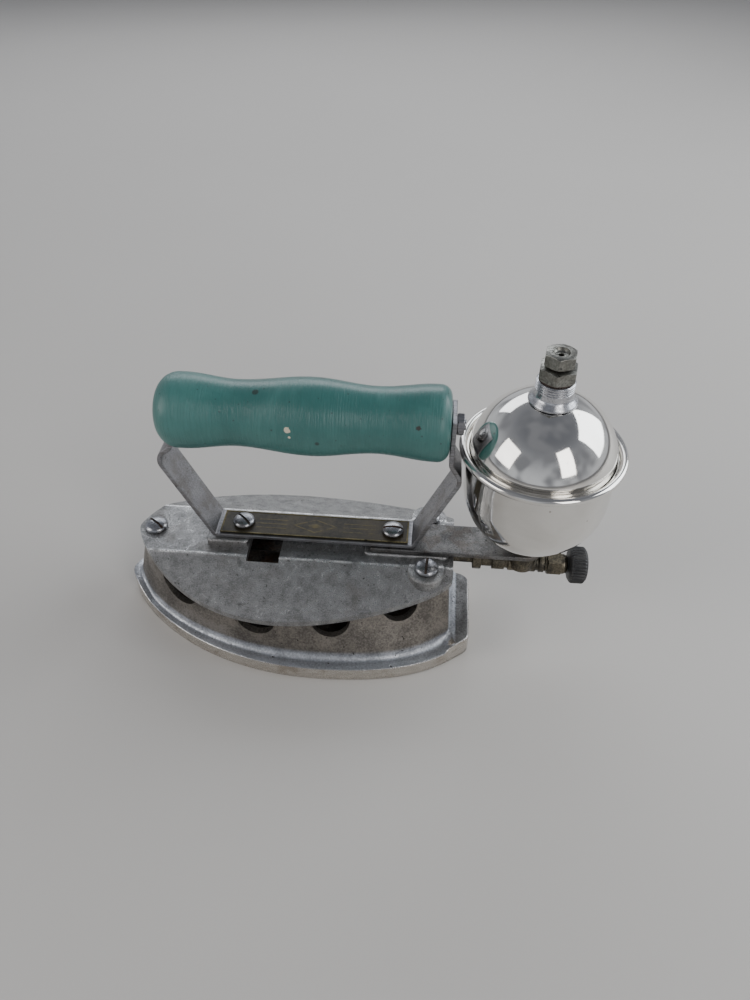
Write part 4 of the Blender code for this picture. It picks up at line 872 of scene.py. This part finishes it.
# %% The plate's field
PLATE_LOW, PLATE_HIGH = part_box("nameplate")
PLATE_MIDDLE_X = (PLATE_LOW.x + PLATE_HIGH.x) / 2


def plate_field():
    """Dark enamel with brass-coloured ornament."""
    f = Finish("plate field", 0.36, 0.4)
    tree = f.tree
    tone = f.group(CAST_SKIN, Grain=800.0, Pits=0.45)
    patch = f.group(PATCHES, Scale=110.0, Low=0.42, High=0.66)["Mask"]
    field = blend_colour(tree, tone["Tone"], (0.012, 0.010, 0.007), (0.035, 0.028, 0.017))
    field = blend_colour(tree, maths(tree, "MULTIPLY", patch, 0.4), field, (0.07, 0.055, 0.028))
    along = maths(tree, "ABSOLUTE", maths(tree, "SUBTRACT", f.x, PLATE_MIDDLE_X))
    across = maths(tree, "ABSOLUTE", f.y)
    diamond = maths(tree, "ADD", maths(tree, "DIVIDE", along, 11 * MM),
                    maths(tree, "DIVIDE", across, 4.6 * MM))
    outline = remap(tree, maths(tree, "ABSOLUTE", maths(tree, "SUBTRACT", diamond, 0.92)), 0.085, 0.055)
    dot = remap(tree, diamond, 0.36, 0.30)
    row = maths(tree, "ABSOLUTE", maths(tree, "SUBTRACT", maths(tree, "FRACT", maths(
        tree, "DIVIDE", maths(tree, "ADD", f.y, 4.05 * MM), 2.7 * MM)), 0.5))
    rules = remap(tree, row, 0.11, 0.07)
    inside = maths(tree, "MULTIPLY", remap(tree, along, 13.5 * MM, 13.8 * MM), remap(
        tree, along, 29.2 * MM, 28.9 * MM))
    inside = maths(tree, "MULTIPLY", inside, remap(tree, across, 4.05 * MM, 4.0 * MM))
    drawn = maths(tree, "MAXIMUM", maths(tree, "MAXIMUM", outline, dot),
                  maths(tree, "MULTIPLY", rules, inside))
    kept = f.group(PATCHES, Scale=420.0, Low=0.34, High=0.56)["Mask"]
    drawn = maths(tree, "MULTIPLY", drawn, kept)
    f.feed("Base Color", blend_colour(tree, drawn, field, (0.11, 0.092, 0.05)))
    f.feed("Roughness", remap(tree, tone["Tone"], 0.0, 1.0, 0.46, 0.30))
    f.feed("Metallic", remap(tree, drawn, 0.0, 1.0, 0.25, 0.9, smooth=False))
    f.bump(maths(tree, "ADD", tone["Height"], drawn), 0.05 * MM, 0.4)
    return f.material


def nameplate():
    """Border and sunk field, with the two screw holes cut through."""
    bm = block((PLATE_LOW.x, PLATE_HIGH.x), (PLATE_LOW.y, PLATE_HIGH.y), (PLATE_LOW.z, PLATE_HIGH.z))
    bm.faces.ensure_lookup_table()
    top = max(bm.faces, key=lambda face: face.calc_center_median().z)
    bmesh.ops.inset_region(bm, faces=[top], thickness=0.85 * MM, depth=0.0)
    bmesh.ops.inset_region(bm, faces=[top], thickness=0.12 * MM, depth=-0.16 * MM)
    top.material_index = 1
    plate = as_object("nameplate_etched", bm, PLATE_BRASS)
    plate.data.materials.append(plate_field())
    return carved(plate, [rod(2.5 * MM, 40 * MM, 60 * MM, place=(x, 0.0, 0.0)) for x in STRAP_SCREW_X])


finished(nameplate(), "iron", "nameplate", edge=0.08 * MM, limit=40.0, segments=2)

# %% [markdown]
# ## Screws
# All the cast parts are held by slotted round-head screws. One function makes each of them: a
# turned head on a shank, a slot cut at its own angle, and a small bevel on the slot's lips. The slot's faces
# take the dark sooty finish as painted shade.

# %% Screws
SHANK, SLOT_WIDE = 2.2 * MM, 1.2 * MM


def round_screw(node, turn, head_high):
    low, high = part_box(node)
    x, y = (low.x + high.x) / 2, (low.y + high.y) / 2
    radius = (high.x - low.x) / 2
    under = high.z - head_high
    edge = 0.75 * MM
    dome = [(radius * math.cos(a), under + edge + (head_high - edge) * math.sin(a))
            for a in (math.radians(90 * i / 16) for i in range(16))]
    outline = [(0.0, low.z), (SHANK, low.z), (SHANK, under), (radius - 0.25 * MM, under),
               (radius, under + 0.25 * MM), *dome, (0.0, high.z)]
    screw = as_object(node + "_slotted", turned(outline, place=(x, y, 0.0), steps=72), SCREW_STEEL)
    # the dark sooty finish on the slot's faces is painted shade in the slot
    screw.data.materials.append(SOOT_AND_SLOT_SHADE)
    slot = block((-7 * MM, 7 * MM), (-SLOT_WIDE / 2, SLOT_WIDE / 2), (high.z - 1.5 * MM, high.z + MM))
    for face in slot.faces:
        face.material_index = 1
    bmesh.ops.rotate(slot, verts=slot.verts, cent=(0, 0, 0), matrix=Matrix.Rotation(turn, 3, "Z"))
    bmesh.ops.translate(slot, verts=slot.verts, vec=(x, y, 0.0))
    carved(screw, [slot])
    tidy_faces(screw, 0.1)
    return finished(screw, "iron", node, edge=0.14 * MM, limit=48.0, segments=2)


SCREWS = {"cover_screw_nose": (-0.62, 3.2 * MM), "cover_screw_heel_front": (1.5, 3.2 * MM),
          "cover_screw_heel_back": (0.3, 3.2 * MM), "strap_screw_front": (-0.75, 2.8 * MM),
          "strap_screw_rear": (0.0, 2.8 * MM)}
for node, (turn, head_high) in SCREWS.items():
    round_screw(node, turn, head_high)

# %% [markdown]
# ## The grip
# The grip was turned on a lathe: full ends, two waists and a fuller middle, with the nose end
# rounded more than the tank end. Its radius eases between named stations. Spinning that outline
# gives the body, and a slot for the bent strap is cut into the nose end.

# %% The grip
STATIONS = (0.09, 0.275, 0.53, 0.755, 0.95)
GRIP_RADII = (16.3 * MM, 14.2 * MM, 16.7 * MM, 14.2 * MM, 16.3 * MM)
END_ROUND = (9 * MM, 5 * MM)


def eased_radius(share):
    """Radius at a share of the grip's length."""
    if share <= STATIONS[0]:
        return GRIP_RADII[0]
    for (a, b), (u, v) in zip(zip(STATIONS, STATIONS[1:]), zip(GRIP_RADII, GRIP_RADII[1:])):
        if share <= b:
            return u + (v - u) * (1 - math.cos(math.pi * (share - a) / (b - a))) / 2
    return GRIP_RADII[-1]


def grip_outline(steps=110):
    points = []
    for i in range(steps + 1):
        share = (1 - math.cos(math.pi * i / steps)) / 2
        x = GRIP_LEFT + (GRIP_RIGHT - GRIP_LEFT) * share
        radius = eased_radius(share)
        drop = 0.0
        for end, near in ((END_ROUND[0], x - GRIP_LEFT), (END_ROUND[1], GRIP_RIGHT - x)):
            if near < end:
                drop = max(drop, end - math.sqrt(max(end * end - (end - near) ** 2, 0.0)))
        points.append((radius - drop, x))
    return points


def wooden_grip():
    bore = 2.7 * MM
    points = [(bore, GRIP_LEFT), *grip_outline(), (bore, GRIP_RIGHT)]
    grip = as_object("grip_turned", turned(points, "X", (0.0, 0.0, GRIP_AXIS_Z), 128, closed=True),
                     GRIP_PAINT)
    half, wide = STRAP_THICK / 2 + GAP, STRAP_WIDTH / 2 + GAP
    low, mouth = GRIP_AXIS_Z - 25 * MM, 105.6 * MM
    carved(grip, [block((LEFT_TAB_X - half, LEFT_TAB_X + half), (-wide, wide), (low, TAB_TOP + GAP)),
                  block((LEFT_TAB_X - half - 1.6 * MM, LEFT_TAB_X), (-wide, wide), (low, mouth))])
    return grip


finished(wooden_grip(), "iron", "handle_grip", sharp=30.0)

# %% [markdown]
# ## Nuts and hexagons
# A hexagon nut starts as a six-sided bar. Its corners are then chamfered as on a lathe: the bar is
# cut by a turned shape whose ends taper, which leaves the curved arcs that real nuts have.

# %% Hexagons
def hexagon(flats, low, high, axis="Z", place=(0.0, 0.0, 0.0), turn=0.0, chamfer=0.6 * MM, both=True):
    """A six-sided bar with its corners turned down at one end or both."""
    corner = flats / math.sqrt(3)
    bm = bmesh.new()
    bmesh.ops.create_cone(bm, cap_ends=True, segments=6, radius1=corner, radius2=corner, depth=high - low,
                          matrix=Matrix.Translation((0, 0, (low + high) / 2)) @ Matrix.Rotation(turn, 4, "Z"))
    nut = as_object("nut", bm)
    tight = flats / 2 - 0.1 * MM
    foot = [(0.0, low), (tight, low), (corner + 0.2 * MM, low + chamfer)] if both else \
        [(0.0, low - MM), (corner + 0.2 * MM, low - MM)]
    taper = foot + [(corner + 0.2 * MM, high - chamfer), (tight, high), (0.0, high)]
    carved(nut, [turned(taper, steps=72)], "INTERSECT")
    shape = bmesh.new()
    shape.from_mesh(nut.data)
    bpy.data.objects.remove(nut, do_unlink=True)
    if axis == "X":
        bmesh.ops.rotate(shape, verts=shape.verts, cent=(0, 0, 0),
                         matrix=Matrix.Rotation(math.pi / 2, 3, "Y"))
    bmesh.ops.translate(shape, verts=shape.verts, vec=place)
    return shape


# %% The handle's nut and rod end
NUT_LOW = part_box("handle_nut")[0].x
NUT_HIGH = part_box("handle_nut")[1].x
GRIP_AXIS = (0.0, 0.0, GRIP_AXIS_Z)

nut = as_object("handle_nut_hex", hexagon(8.6 * MM, NUT_LOW, NUT_HIGH, "X", GRIP_AXIS, turn=0.25),
                STRAP_STEEL)
carved(nut, [rod(2.45 * MM, NUT_LOW - MM, NUT_HIGH + MM, "X", GRIP_AXIS)])
tidy_faces(nut, 0.1)
finished(nut, "iron", "handle_nut", edge=0.12 * MM, limit=35.0, segments=2)

rod_low, rod_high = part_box("handle_rod")
rod_outline = softened([(0.0, rod_low.x, 0), (2.4 * MM, rod_low.x, 0.3 * MM),
                        (2.4 * MM, rod_high.x, 0.6 * MM),
                        (0.0, rod_high.x, 0)])
finished(as_object("handle_rod_plain", turned(rod_outline, "X", GRIP_AXIS, 48), SCREW_STEEL), "iron",
         "handle_rod")

# %% [markdown]
# ## The tank
# The tank is spun sheet metal: a deep bowl with a rolled rim and a domed lid let into it. A ring of
# shadow shows between lid and rim. Both are thin closed walls, and both are turned from arcs.

# %% Bowl and dome
TANK_RADIUS, SHEET = 31.9 * MM, 1.0 * MM
BOWL_CENTRE_Z, RIM_Z = 85.5 * MM, 107 * MM
RIM_RADIUS, BEAD = 35.4 * MM, 1.7 * MM
SPUD_HOLE = 4.5 * MM
TANK_PLACE = (TANK_X, 0.0, 0.0)


def bowl_outline():
    def low_angle(radius):
        return -math.degrees(math.acos(SPUD_HOLE / radius))

    centre = (0.0, BOWL_CENTRE_Z)
    inner_radius = TANK_RADIUS - SHEET
    outer = arc(centre, TANK_RADIUS, low_angle(TANK_RADIUS), 0.0, 48)
    neck = softened([(TANK_RADIUS, RIM_Z - 9 * MM, 0), (TANK_RADIUS, RIM_Z - 3.2 * MM, 1.6 * MM),
                     (RIM_RADIUS - BEAD * 1.5, RIM_Z - 1.9 * MM, 0)])
    bead = arc((RIM_RADIUS - BEAD, RIM_Z - 0.4 * BEAD), BEAD, -125.0, 160.0, 26)
    lip = softened([(RIM_RADIUS - 2.1 * BEAD, RIM_Z - 0.9 * BEAD, 0),
                    (inner_radius, RIM_Z - 2.0 * MM, 0.8 * MM),
                    (inner_radius, RIM_Z - 7 * MM, 0)])
    inner = arc(centre, inner_radius, 0.0, low_angle(inner_radius), 40)
    return outer + neck + bead + lip + inner


def dome_outline():
    foot, neck = (31.0 * MM, 108.4 * MM), (10.0 * MM, 130.8 * MM)
    centre = (neck[0]**2 - foot[0]**2 + neck[1]**2 - foot[1]**2) / (2 * (neck[1] - foot[1]))
    radius = math.hypot(foot[0], foot[1] - centre)
    hole = 8.1 * MM
    start = math.degrees(math.atan2(foot[1] - centre, foot[0]))
    seat = TANK_RADIUS - SHEET - GAP
    outer = arc((0.0, centre), radius, start + 2.5, math.degrees(math.acos(hole / radius)), 44)
    inner_radius = radius - SHEET
    inner = arc((0.0, centre), inner_radius, math.degrees(math.acos(hole / inner_radius)), start, 36)
    skirt = softened([(seat - SHEET, RIM_Z - 6 * MM, 0), (seat, RIM_Z - 6 * MM, 0.3 * MM),
                      (seat, RIM_Z - 1.6 * MM, 1.2 * MM), (seat - 0.9 * MM, RIM_Z - 0.2 * MM, 0.8 * MM),
                      outer[0]
                      + (0,)])
    return skirt + outer + inner


bowl = as_object("tank_bowl_spun", turned(bowl_outline(), "Z", TANK_PLACE, 160, closed=True), TANK_NICKEL)
finished(bowl, "iron", "tank_bowl", sharp=50.0)
dome = as_object("tank_dome_spun", turned(dome_outline(), "Z", TANK_PLACE, 160, closed=True), TANK_NICKEL)
finished(dome, "iron", "tank_dome", sharp=50.0)

# %% [markdown]
# ## The filler
# The filler neck flares onto the dome. Above it sit a fibre washer, the hexagonal plug, a second
# washer and the smaller air cap with its little countersunk hole for the hand pump.

# %% Neck, plug and cap
def on_tank(node):
    """Lowest and highest z of a node that stands on the tank's axis."""
    low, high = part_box(node)
    return low.z, high.z


neck_low, neck_top = on_tank("filler_neck")
threads = []
for i in range(4):
    z = 136.6 * MM + i * 1.1 * MM
    threads += [(7.8 * MM, z, 0.1 * MM), (7.8 * MM, z + 0.6 * MM, 0.1 * MM),
                (7.45 * MM, z + 0.8 * MM, 0.1 * MM),
                (7.45 * MM, z + 0.9 * MM, 0.1 * MM)]
neck_outline = softened([
    (5.05 * MM, neck_low, 0), (7.8 * MM, neck_low, 0.2 * MM), (7.8 * MM, 132.4 * MM, 0.1 * MM),
    (10.0 * MM, 131.2 * MM, 0.3 * MM), (10.0 * MM, 132.0 * MM, 0.5 * MM), (9.0 * MM, 133.2 * MM, 1.2 * MM),
    (8.0 * MM, 134.4 * MM, 0.8 * MM), (7.8 * MM, 136.0 * MM, 0.2 * MM), *threads,
    (7.2 * MM, neck_top, 0.2 * MM), (5.05 * MM, neck_top, 0)], 6)
neck = as_object("filler_neck_turned", turned(neck_outline, "Z", TANK_PLACE, 96, closed=True), NECK_NICKEL)
finished(neck, "iron", "filler_neck")


def washer(node, inner, outer, body):
    low, high = on_tank(node)
    outline = softened([(inner, low, 0), (outer, low, 0.2 * MM), (outer, high, 0.2 * MM), (inner, high, 0)])
    ring = as_object(node + "_ring", turned(outline, "Z", TANK_PLACE, 64, closed=True), FIBRE)
    return finished(ring, body, node)


washer("filler_gasket", 5.05 * MM, 6.6 * MM, "filler_lift")
washer("air_cap_seal", 2.65 * MM, 4.4 * MM, "cap_lift")
HEX_TURN = math.radians(-10.0)


def hex_plug(name, node, body, flats, hex_high, shank_radius, bores):
    """A hexagon on a round shank, with its bores cut from the top or right through."""
    low, high = on_tank(node)
    plug = as_object(name, hexagon(flats, high - hex_high, high, "Z", TANK_PLACE, HEX_TURN), HEX_NICKEL)
    carved(plug, [rod(shank_radius, low, high - hex_high + MM, "Z", TANK_PLACE, 64)], "UNION")
    carved(plug, [turned(outline, "Z", TANK_PLACE, 64) for outline in bores(low, high)])
    tidy_faces(plug, 0.1)
    return finished(plug, body, node, edge=0.16 * MM, limit=35.0, segments=2)


def drilled(radius, low, high):
    return [(0.0, low), (radius, low), (radius, high), (0.0, high)]


hex_plug("filler_plug_hex", "filler_plug", "filler_plug", 14 * MM, 5.4 * MM, 5 * MM, lambda low, high: [
    drilled(2.6 * MM, low + 0.75 * MM, high - 5.4 * MM), drilled(1.15 * MM, low - MM, high + MM),
    drilled(2.65 * MM, high - 3.4 * MM, high + MM)])
hex_plug("air_cap_hex", "air_cap", "air_cap", 11.6 * MM, 5.2 * MM, 2.6 * MM, lambda low, high: [
    [(0.0, high - 1.5 * MM), (2.5 * MM, high - 1.1 * MM), (3.3 * MM, high - 0.2 * MM), (3.6 * MM, high + MM),
     (0.0, high + MM)], drilled(1.15 * MM, low - MM, high + MM)])

# %% [markdown]
# ## The valve under the tank
# Fuel runs down a fitting into the valve body. A needle on a stem opens and closes the way to the
# generator, the thin tube that leads to the jet. All of it is turned brass: steps, grooves and
# hexagons along one axis. The body is one outline spun round that axis with a boss on top.

# %% Spud and valve body
VALVE_PLACE = (0.0, 0.0, VALVE_Z)
spud_low, spud_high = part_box("tank_spud")


def under_bowl(r):
    return BOWL_CENTRE_Z - math.sqrt(TANK_RADIUS**2 - r * r) - GAP


seat_z = BRACKET_UNDER + BRACKET_THICK + GAP
spud_outline = [(2.2 * MM, spud_low.z), (4.2 * MM, spud_low.z), (4.2 * MM, seat_z), (7.3 * MM, seat_z),
                (7.5 * MM, seat_z + 0.2 * MM), (7.5 * MM, under_bowl(7.5 * MM)),
                (4.2 * MM, under_bowl(4.2 * MM)), (4.2 * MM, spud_high.z), (2.2 * MM, spud_high.z)]
spud = as_object("tank_spud_turned", turned(spud_outline, "Z", TANK_PLACE, 64, closed=True), DARK_BRASS)
finished(spud, "iron", "tank_spud")

body_low, body_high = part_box("valve_body")
BODY_X0, BODY_X1 = 96.6 * MM, 121.6 * MM
BODY_STEPS = softened([
    (0.0, body_low.x, 0), (3.3 * MM, body_low.x, 0.3 * MM), (3.3 * MM, BODY_X0, 0.1 * MM),
    (4.5 * MM, BODY_X0, 0.3 * MM), (4.5 * MM, 102.5 * MM, 0.3 * MM), (3.7 * MM, 102.9 * MM, 0.2 * MM),
    (3.7 * MM, 104.0 * MM, 0.2 * MM), (4.7 * MM, 104.4 * MM, 0.3 * MM), (4.7 * MM, 117.4 * MM, 0.3 * MM),
    (4.0 * MM, 117.8 * MM, 0.2 * MM), (4.0 * MM, 118.8 * MM, 0.2 * MM), (4.7 * MM, 119.2 * MM, 0.2 * MM),
    (4.7 * MM, BODY_X1, 0.3 * MM), (0.0, BODY_X1, 0)], 3)
valve_body = as_object("valve_body_turned", turned(BODY_STEPS, "X", VALVE_PLACE, 72), DARK_BRASS)
collar = softened([(0.0, VALVE_Z - 1.3 * MM, 0), (6.8 * MM, VALVE_Z - 1.3 * MM, 1.2 * MM),
                   (6.8 * MM, body_high.z, 0.5 * MM), (0.0, body_high.z, 0)])
carved(valve_body, [turned(collar, "Z", TANK_PLACE, 72)], "UNION")
carved(valve_body, [rod(4.5 * MM, 37.9 * MM, body_high.z + MM, "Z", TANK_PLACE),
                    rod(1.55 * MM, 102.7 * MM, 124 * MM, "X", VALVE_PLACE),
                    rod(3.0 * MM, 117.6 * MM, 123 * MM, "X", VALVE_PLACE)])
tidy_faces(valve_body, 0.1)
finished(valve_body, "iron", "valve_body", edge=0.12 * MM, limit=40.0, segments=2)

# %% Packing gland, generator nut and tube
gland_low, gland_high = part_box("packing_gland")
gland = as_object("packing_gland_hex", hexagon(10.4 * MM, 123 * MM, 129.8 * MM, "X", VALVE_PLACE, 0.26),
                  DARK_BRASS)
sleeve = softened([(0.0, gland_low.x, 0), (4.1 * MM, gland_low.x, 0.2 * MM), (4.1 * MM, 124 * MM, 0),
                   (0.0, 124 * MM, 0)])
nose = softened([(0.0, 128.8 * MM, 0), (4.9 * MM, 128.8 * MM, 0), (4.9 * MM, 131.0 * MM, 0.5 * MM),
                 (4.1 * MM, gland_high.x, 0.6 * MM), (0.0, gland_high.x, 0)])
carved(gland, [turned(points, "X", VALVE_PLACE, 72) for points in (sleeve, nose)], "UNION")
carved(gland, [rod(1.55 * MM, 120 * MM, 135 * MM, "X", VALVE_PLACE)])
tidy_faces(gland, 0.1)
finished(gland, "iron", "packing_gland", edge=0.12 * MM, limit=35.0, segments=2)

nut_low, nut_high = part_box("generator_nut")
generator_nut = as_object("generator_nut_hex",
                          hexagon(9.4 * MM, nut_low.x, nut_high.x, "X", VALVE_PLACE, 0.1),
                          DARK_BRASS)
carved(generator_nut, [rod(2.2 * MM, nut_low.x - MM, nut_high.x + MM, "X", VALVE_PLACE)])
tidy_faces(generator_nut, 0.1)
finished(generator_nut, "iron", "generator_nut", edge=0.12 * MM, limit=35.0, segments=2)

tube_low, tube_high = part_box("generator_tube")
tube_outline = [(1.0 * MM, tube_low.x), (2.1 * MM, tube_low.x), (2.1 * MM, tube_high.x),
                (1.0 * MM, tube_high.x)]
generator = as_object("generator_tube_drawn", turned(tube_outline, "X", VALVE_PLACE, 48, closed=True),
                      DARK_BRASS)
finished(generator, "iron", "generator_tube")

# %% [markdown]
# ## The knob
# The knob is a moulded wheel with fine ribs round its rim. The rim's outline swings in and out once
# for each rib. Plain circles at both ends narrow it, so the ribs fade out over a rounded shoulder.

# %% The knob and its stem
KNOB_RIBS, RIB_DEPTH = 36, 0.45 * MM
knob_low, knob_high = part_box("valve_knob")
KNOB_RADIUS = (knob_high.z - knob_low.z) / 2


def knob_ring(x, radius, ribs):
    """A circle whose radius dips between the ribs by a share of their depth."""
    count = KNOB_RIBS * 8
    points = []
    for i in range(count):
        a = math.tau * i / count
        dip = RIB_DEPTH * ribs * (0.5 - 0.5 * math.cos(a * KNOB_RIBS)) ** 0.6
        points.append((x, (radius - dip) * math.cos(a), VALVE_Z + (radius - dip) * math.sin(a)))
    return points


def knob_body():
    x0, x1 = knob_low.x, knob_high.x
    rim = KNOB_RADIUS
    rings = [(x0, 5.4 * MM, 0), (x0, 6.4 * MM, 0), (x0 + 0.25 * MM, rim - 1.5 * MM, 0),
             (x0 + 0.8 * MM, rim - 0.75 * MM, 0.3), (x0 + 1.3 * MM, rim - 0.15 * MM, 0.9),
             (x0 + 1.8 * MM, rim, 1),
             (x1 - 1.8 * MM, rim, 1), (x1 - 1.3 * MM, rim - 0.15 * MM, 0.9),
             (x1 - 0.8 * MM, rim - 0.75 * MM, 0.3),
             (x1 - 0.25 * MM, rim - 1.5 * MM, 0), (x1, rim - 2.2 * MM, 0), (x1 - 0.05 * MM, 5.2 * MM, 0),
             (x1 - 0.45 * MM, 4.7 * MM, 0), (x1 - 0.5 * MM, 2.0 * MM, 0)]
    return bridged([knob_ring(*ring) for ring in rings])


knob = as_object("valve_knob_ribbed", knob_body(), KNOB_PLASTIC)
carved(knob, [rod(1.55 * MM, knob_low.x - MM, knob_high.x - 1.1 * MM, "X", VALVE_PLACE)])
finished(knob, "valve_knob", "valve_knob", sharp=50.0)

stem_low, stem_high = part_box("valve_stem")
stem_outline = softened([(0.0, stem_low.x, 0), (0.35 * MM, stem_low.x, 0), (1.0 * MM, stem_low.x + 2 * MM, 0),
                         (1.0 * MM, 113.3 * MM, 0), (1.5 * MM, 114 * MM, 0),
                         (1.5 * MM, stem_high.x, 0.2 * MM),
                         (0.0, stem_high.x, 0)])
finished(as_object("valve_stem_needle", turned(stem_outline, "X", VALVE_PLACE, 48), SCREW_STEEL),
         "valve_stem", "valve_stem")

# %% [markdown]
# ## Pieces kept from the frame
# The burner, the jet and the other inner pieces already have the right shape, and only show
# through the vents and the lighting slot. They keep their CAD meshes and get sooty or dark finishes.

# %% Finishes for the kept pieces
KEPT = {SOOT_AND_SLOT_SHADE: ("burner_tube", "mixing_tube", "burner_screw_front", "burner_screw_rear"),
        DARK_BRASS: ("jet_nozzle", "pickup_tube", "check_valve_plunger"),
        SCREW_STEEL: ("check_valve_spring",),
        FIBRE: ("stem_packing",)}
for finish, nodes in KEPT.items():
    for node in nodes:
        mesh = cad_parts[node].data
        mesh.materials.clear()
        mesh.materials.append(finish)
    print(finish.name, "on", ", ".join(nodes))

# %% [markdown]
# ## Floor, camera and light
# The iron stands on a plain pale floor. The camera looks down from above the near side. Its place
# and lens are an estimate, chosen among several that suit the iron nearly as well. The light is a
# soft studio: four panels, the largest on the far side, and a surround that darkens overhead.

# %% Floor
def studio_floor():
    bm = bmesh.new()
    bmesh.ops.create_grid(bm, x_segments=1, y_segments=1, size=4.0)
    f = Finish("studio floor", 0.6, 0.0)
    soft = f.group(PATCHES, Scale=1.5, Low=0.2, High=0.8)["Mask"]
    f.feed("Base Color", blend_colour(f.tree, soft, (0.52, 0.50, 0.475), (0.545, 0.525, 0.50)))
    floor = as_object("studio_floor", bm, f.material)
    floor.location.z = -0.05 * MM


studio_floor()

# %% Camera
FOCAL_MM, LONG_SIDE_MM = 27.04, 36.0
camera_data = bpy.data.cameras.new("photo_view")
camera_data.lens = FOCAL_MM
camera_data.sensor_width = LONG_SIDE_MM
camera_data.clip_start = 0.01
camera = bpy.data.objects.new("photo_view", camera_data)
camera.location = (61.5 * MM, -252.66 * MM, 307 * MM)
camera.rotation_euler = (math.radians(47.0), 0.0, math.radians(5.0))
bpy.context.scene.collection.objects.link(camera)
bpy.context.scene.camera = camera
print("camera at", tuple(camera.location))

# %% Lights and surround
def panel(name, place, aim, size, watts, colour):
    """A rectangular soft light that faces a point."""
    data = bpy.data.lights.new(name, "AREA")
    data.shape = "RECTANGLE"
    data.size, data.size_y = size
    data.energy = watts
    data.color = colour
    lamp = bpy.data.objects.new(name, data)
    lamp.location = place
    lamp.rotation_euler = (Vector(aim) - Vector(place)).to_track_quat("-Z", "Y").to_euler()
    bpy.context.scene.collection.objects.link(lamp)


AIM = (20 * MM, 0.0, 60 * MM)
panel("window_panel", (1.0, 0.30, 0.62), AIM, (0.9, 0.8), 10.0, (0.93, 0.97, 1.0))
panel("back_panel", (-0.2, 1.3, 0.8), AIM, (1.5, 0.6), 8.0, (0.93, 0.96, 1.0))
panel("left_panel", (-1.0, -0.45, 0.6), AIM, (0.7, 0.7), 5.0, (1.0, 0.98, 0.95))
panel("near_panel", (0.75, -0.95, 0.75), AIM, (0.5, 0.9), 6.0, (1.0, 0.98, 0.96))


def graded_surround():
    """A surround that is bright at the horizon and darker overhead, so that bright metal shows its shape."""
    world = bpy.data.worlds.new("surround")
    world.use_nodes = True
    tree = world.node_tree
    way = add(tree, "ShaderNodeSeparateXYZ", {"Vector": add(tree, "ShaderNodeTexCoord").outputs["Generated"]})
    high = remap(tree, way.outputs["Z"], 0.0, 0.95)
    colour = blend_colour(tree, high, (0.80, 0.83, 0.88), (0.20, 0.21, 0.24))
    streaks = add(tree, "ShaderNodeTexNoise", {"Vector": add(tree, "ShaderNodeTexCoord").outputs["Generated"],
                                               "Scale": 2.2, "Detail": 1.0}).outputs["Fac"]
    colour = blend_colour(tree, remap(tree, streaks, 0.42, 0.66), colour, (0.30, 0.31, 0.34))
    tree.links.new(colour, tree.nodes["Background"].inputs["Color"])
    tree.nodes["Background"].inputs["Strength"].default_value = 0.75
    bpy.context.scene.world = world


graded_surround()
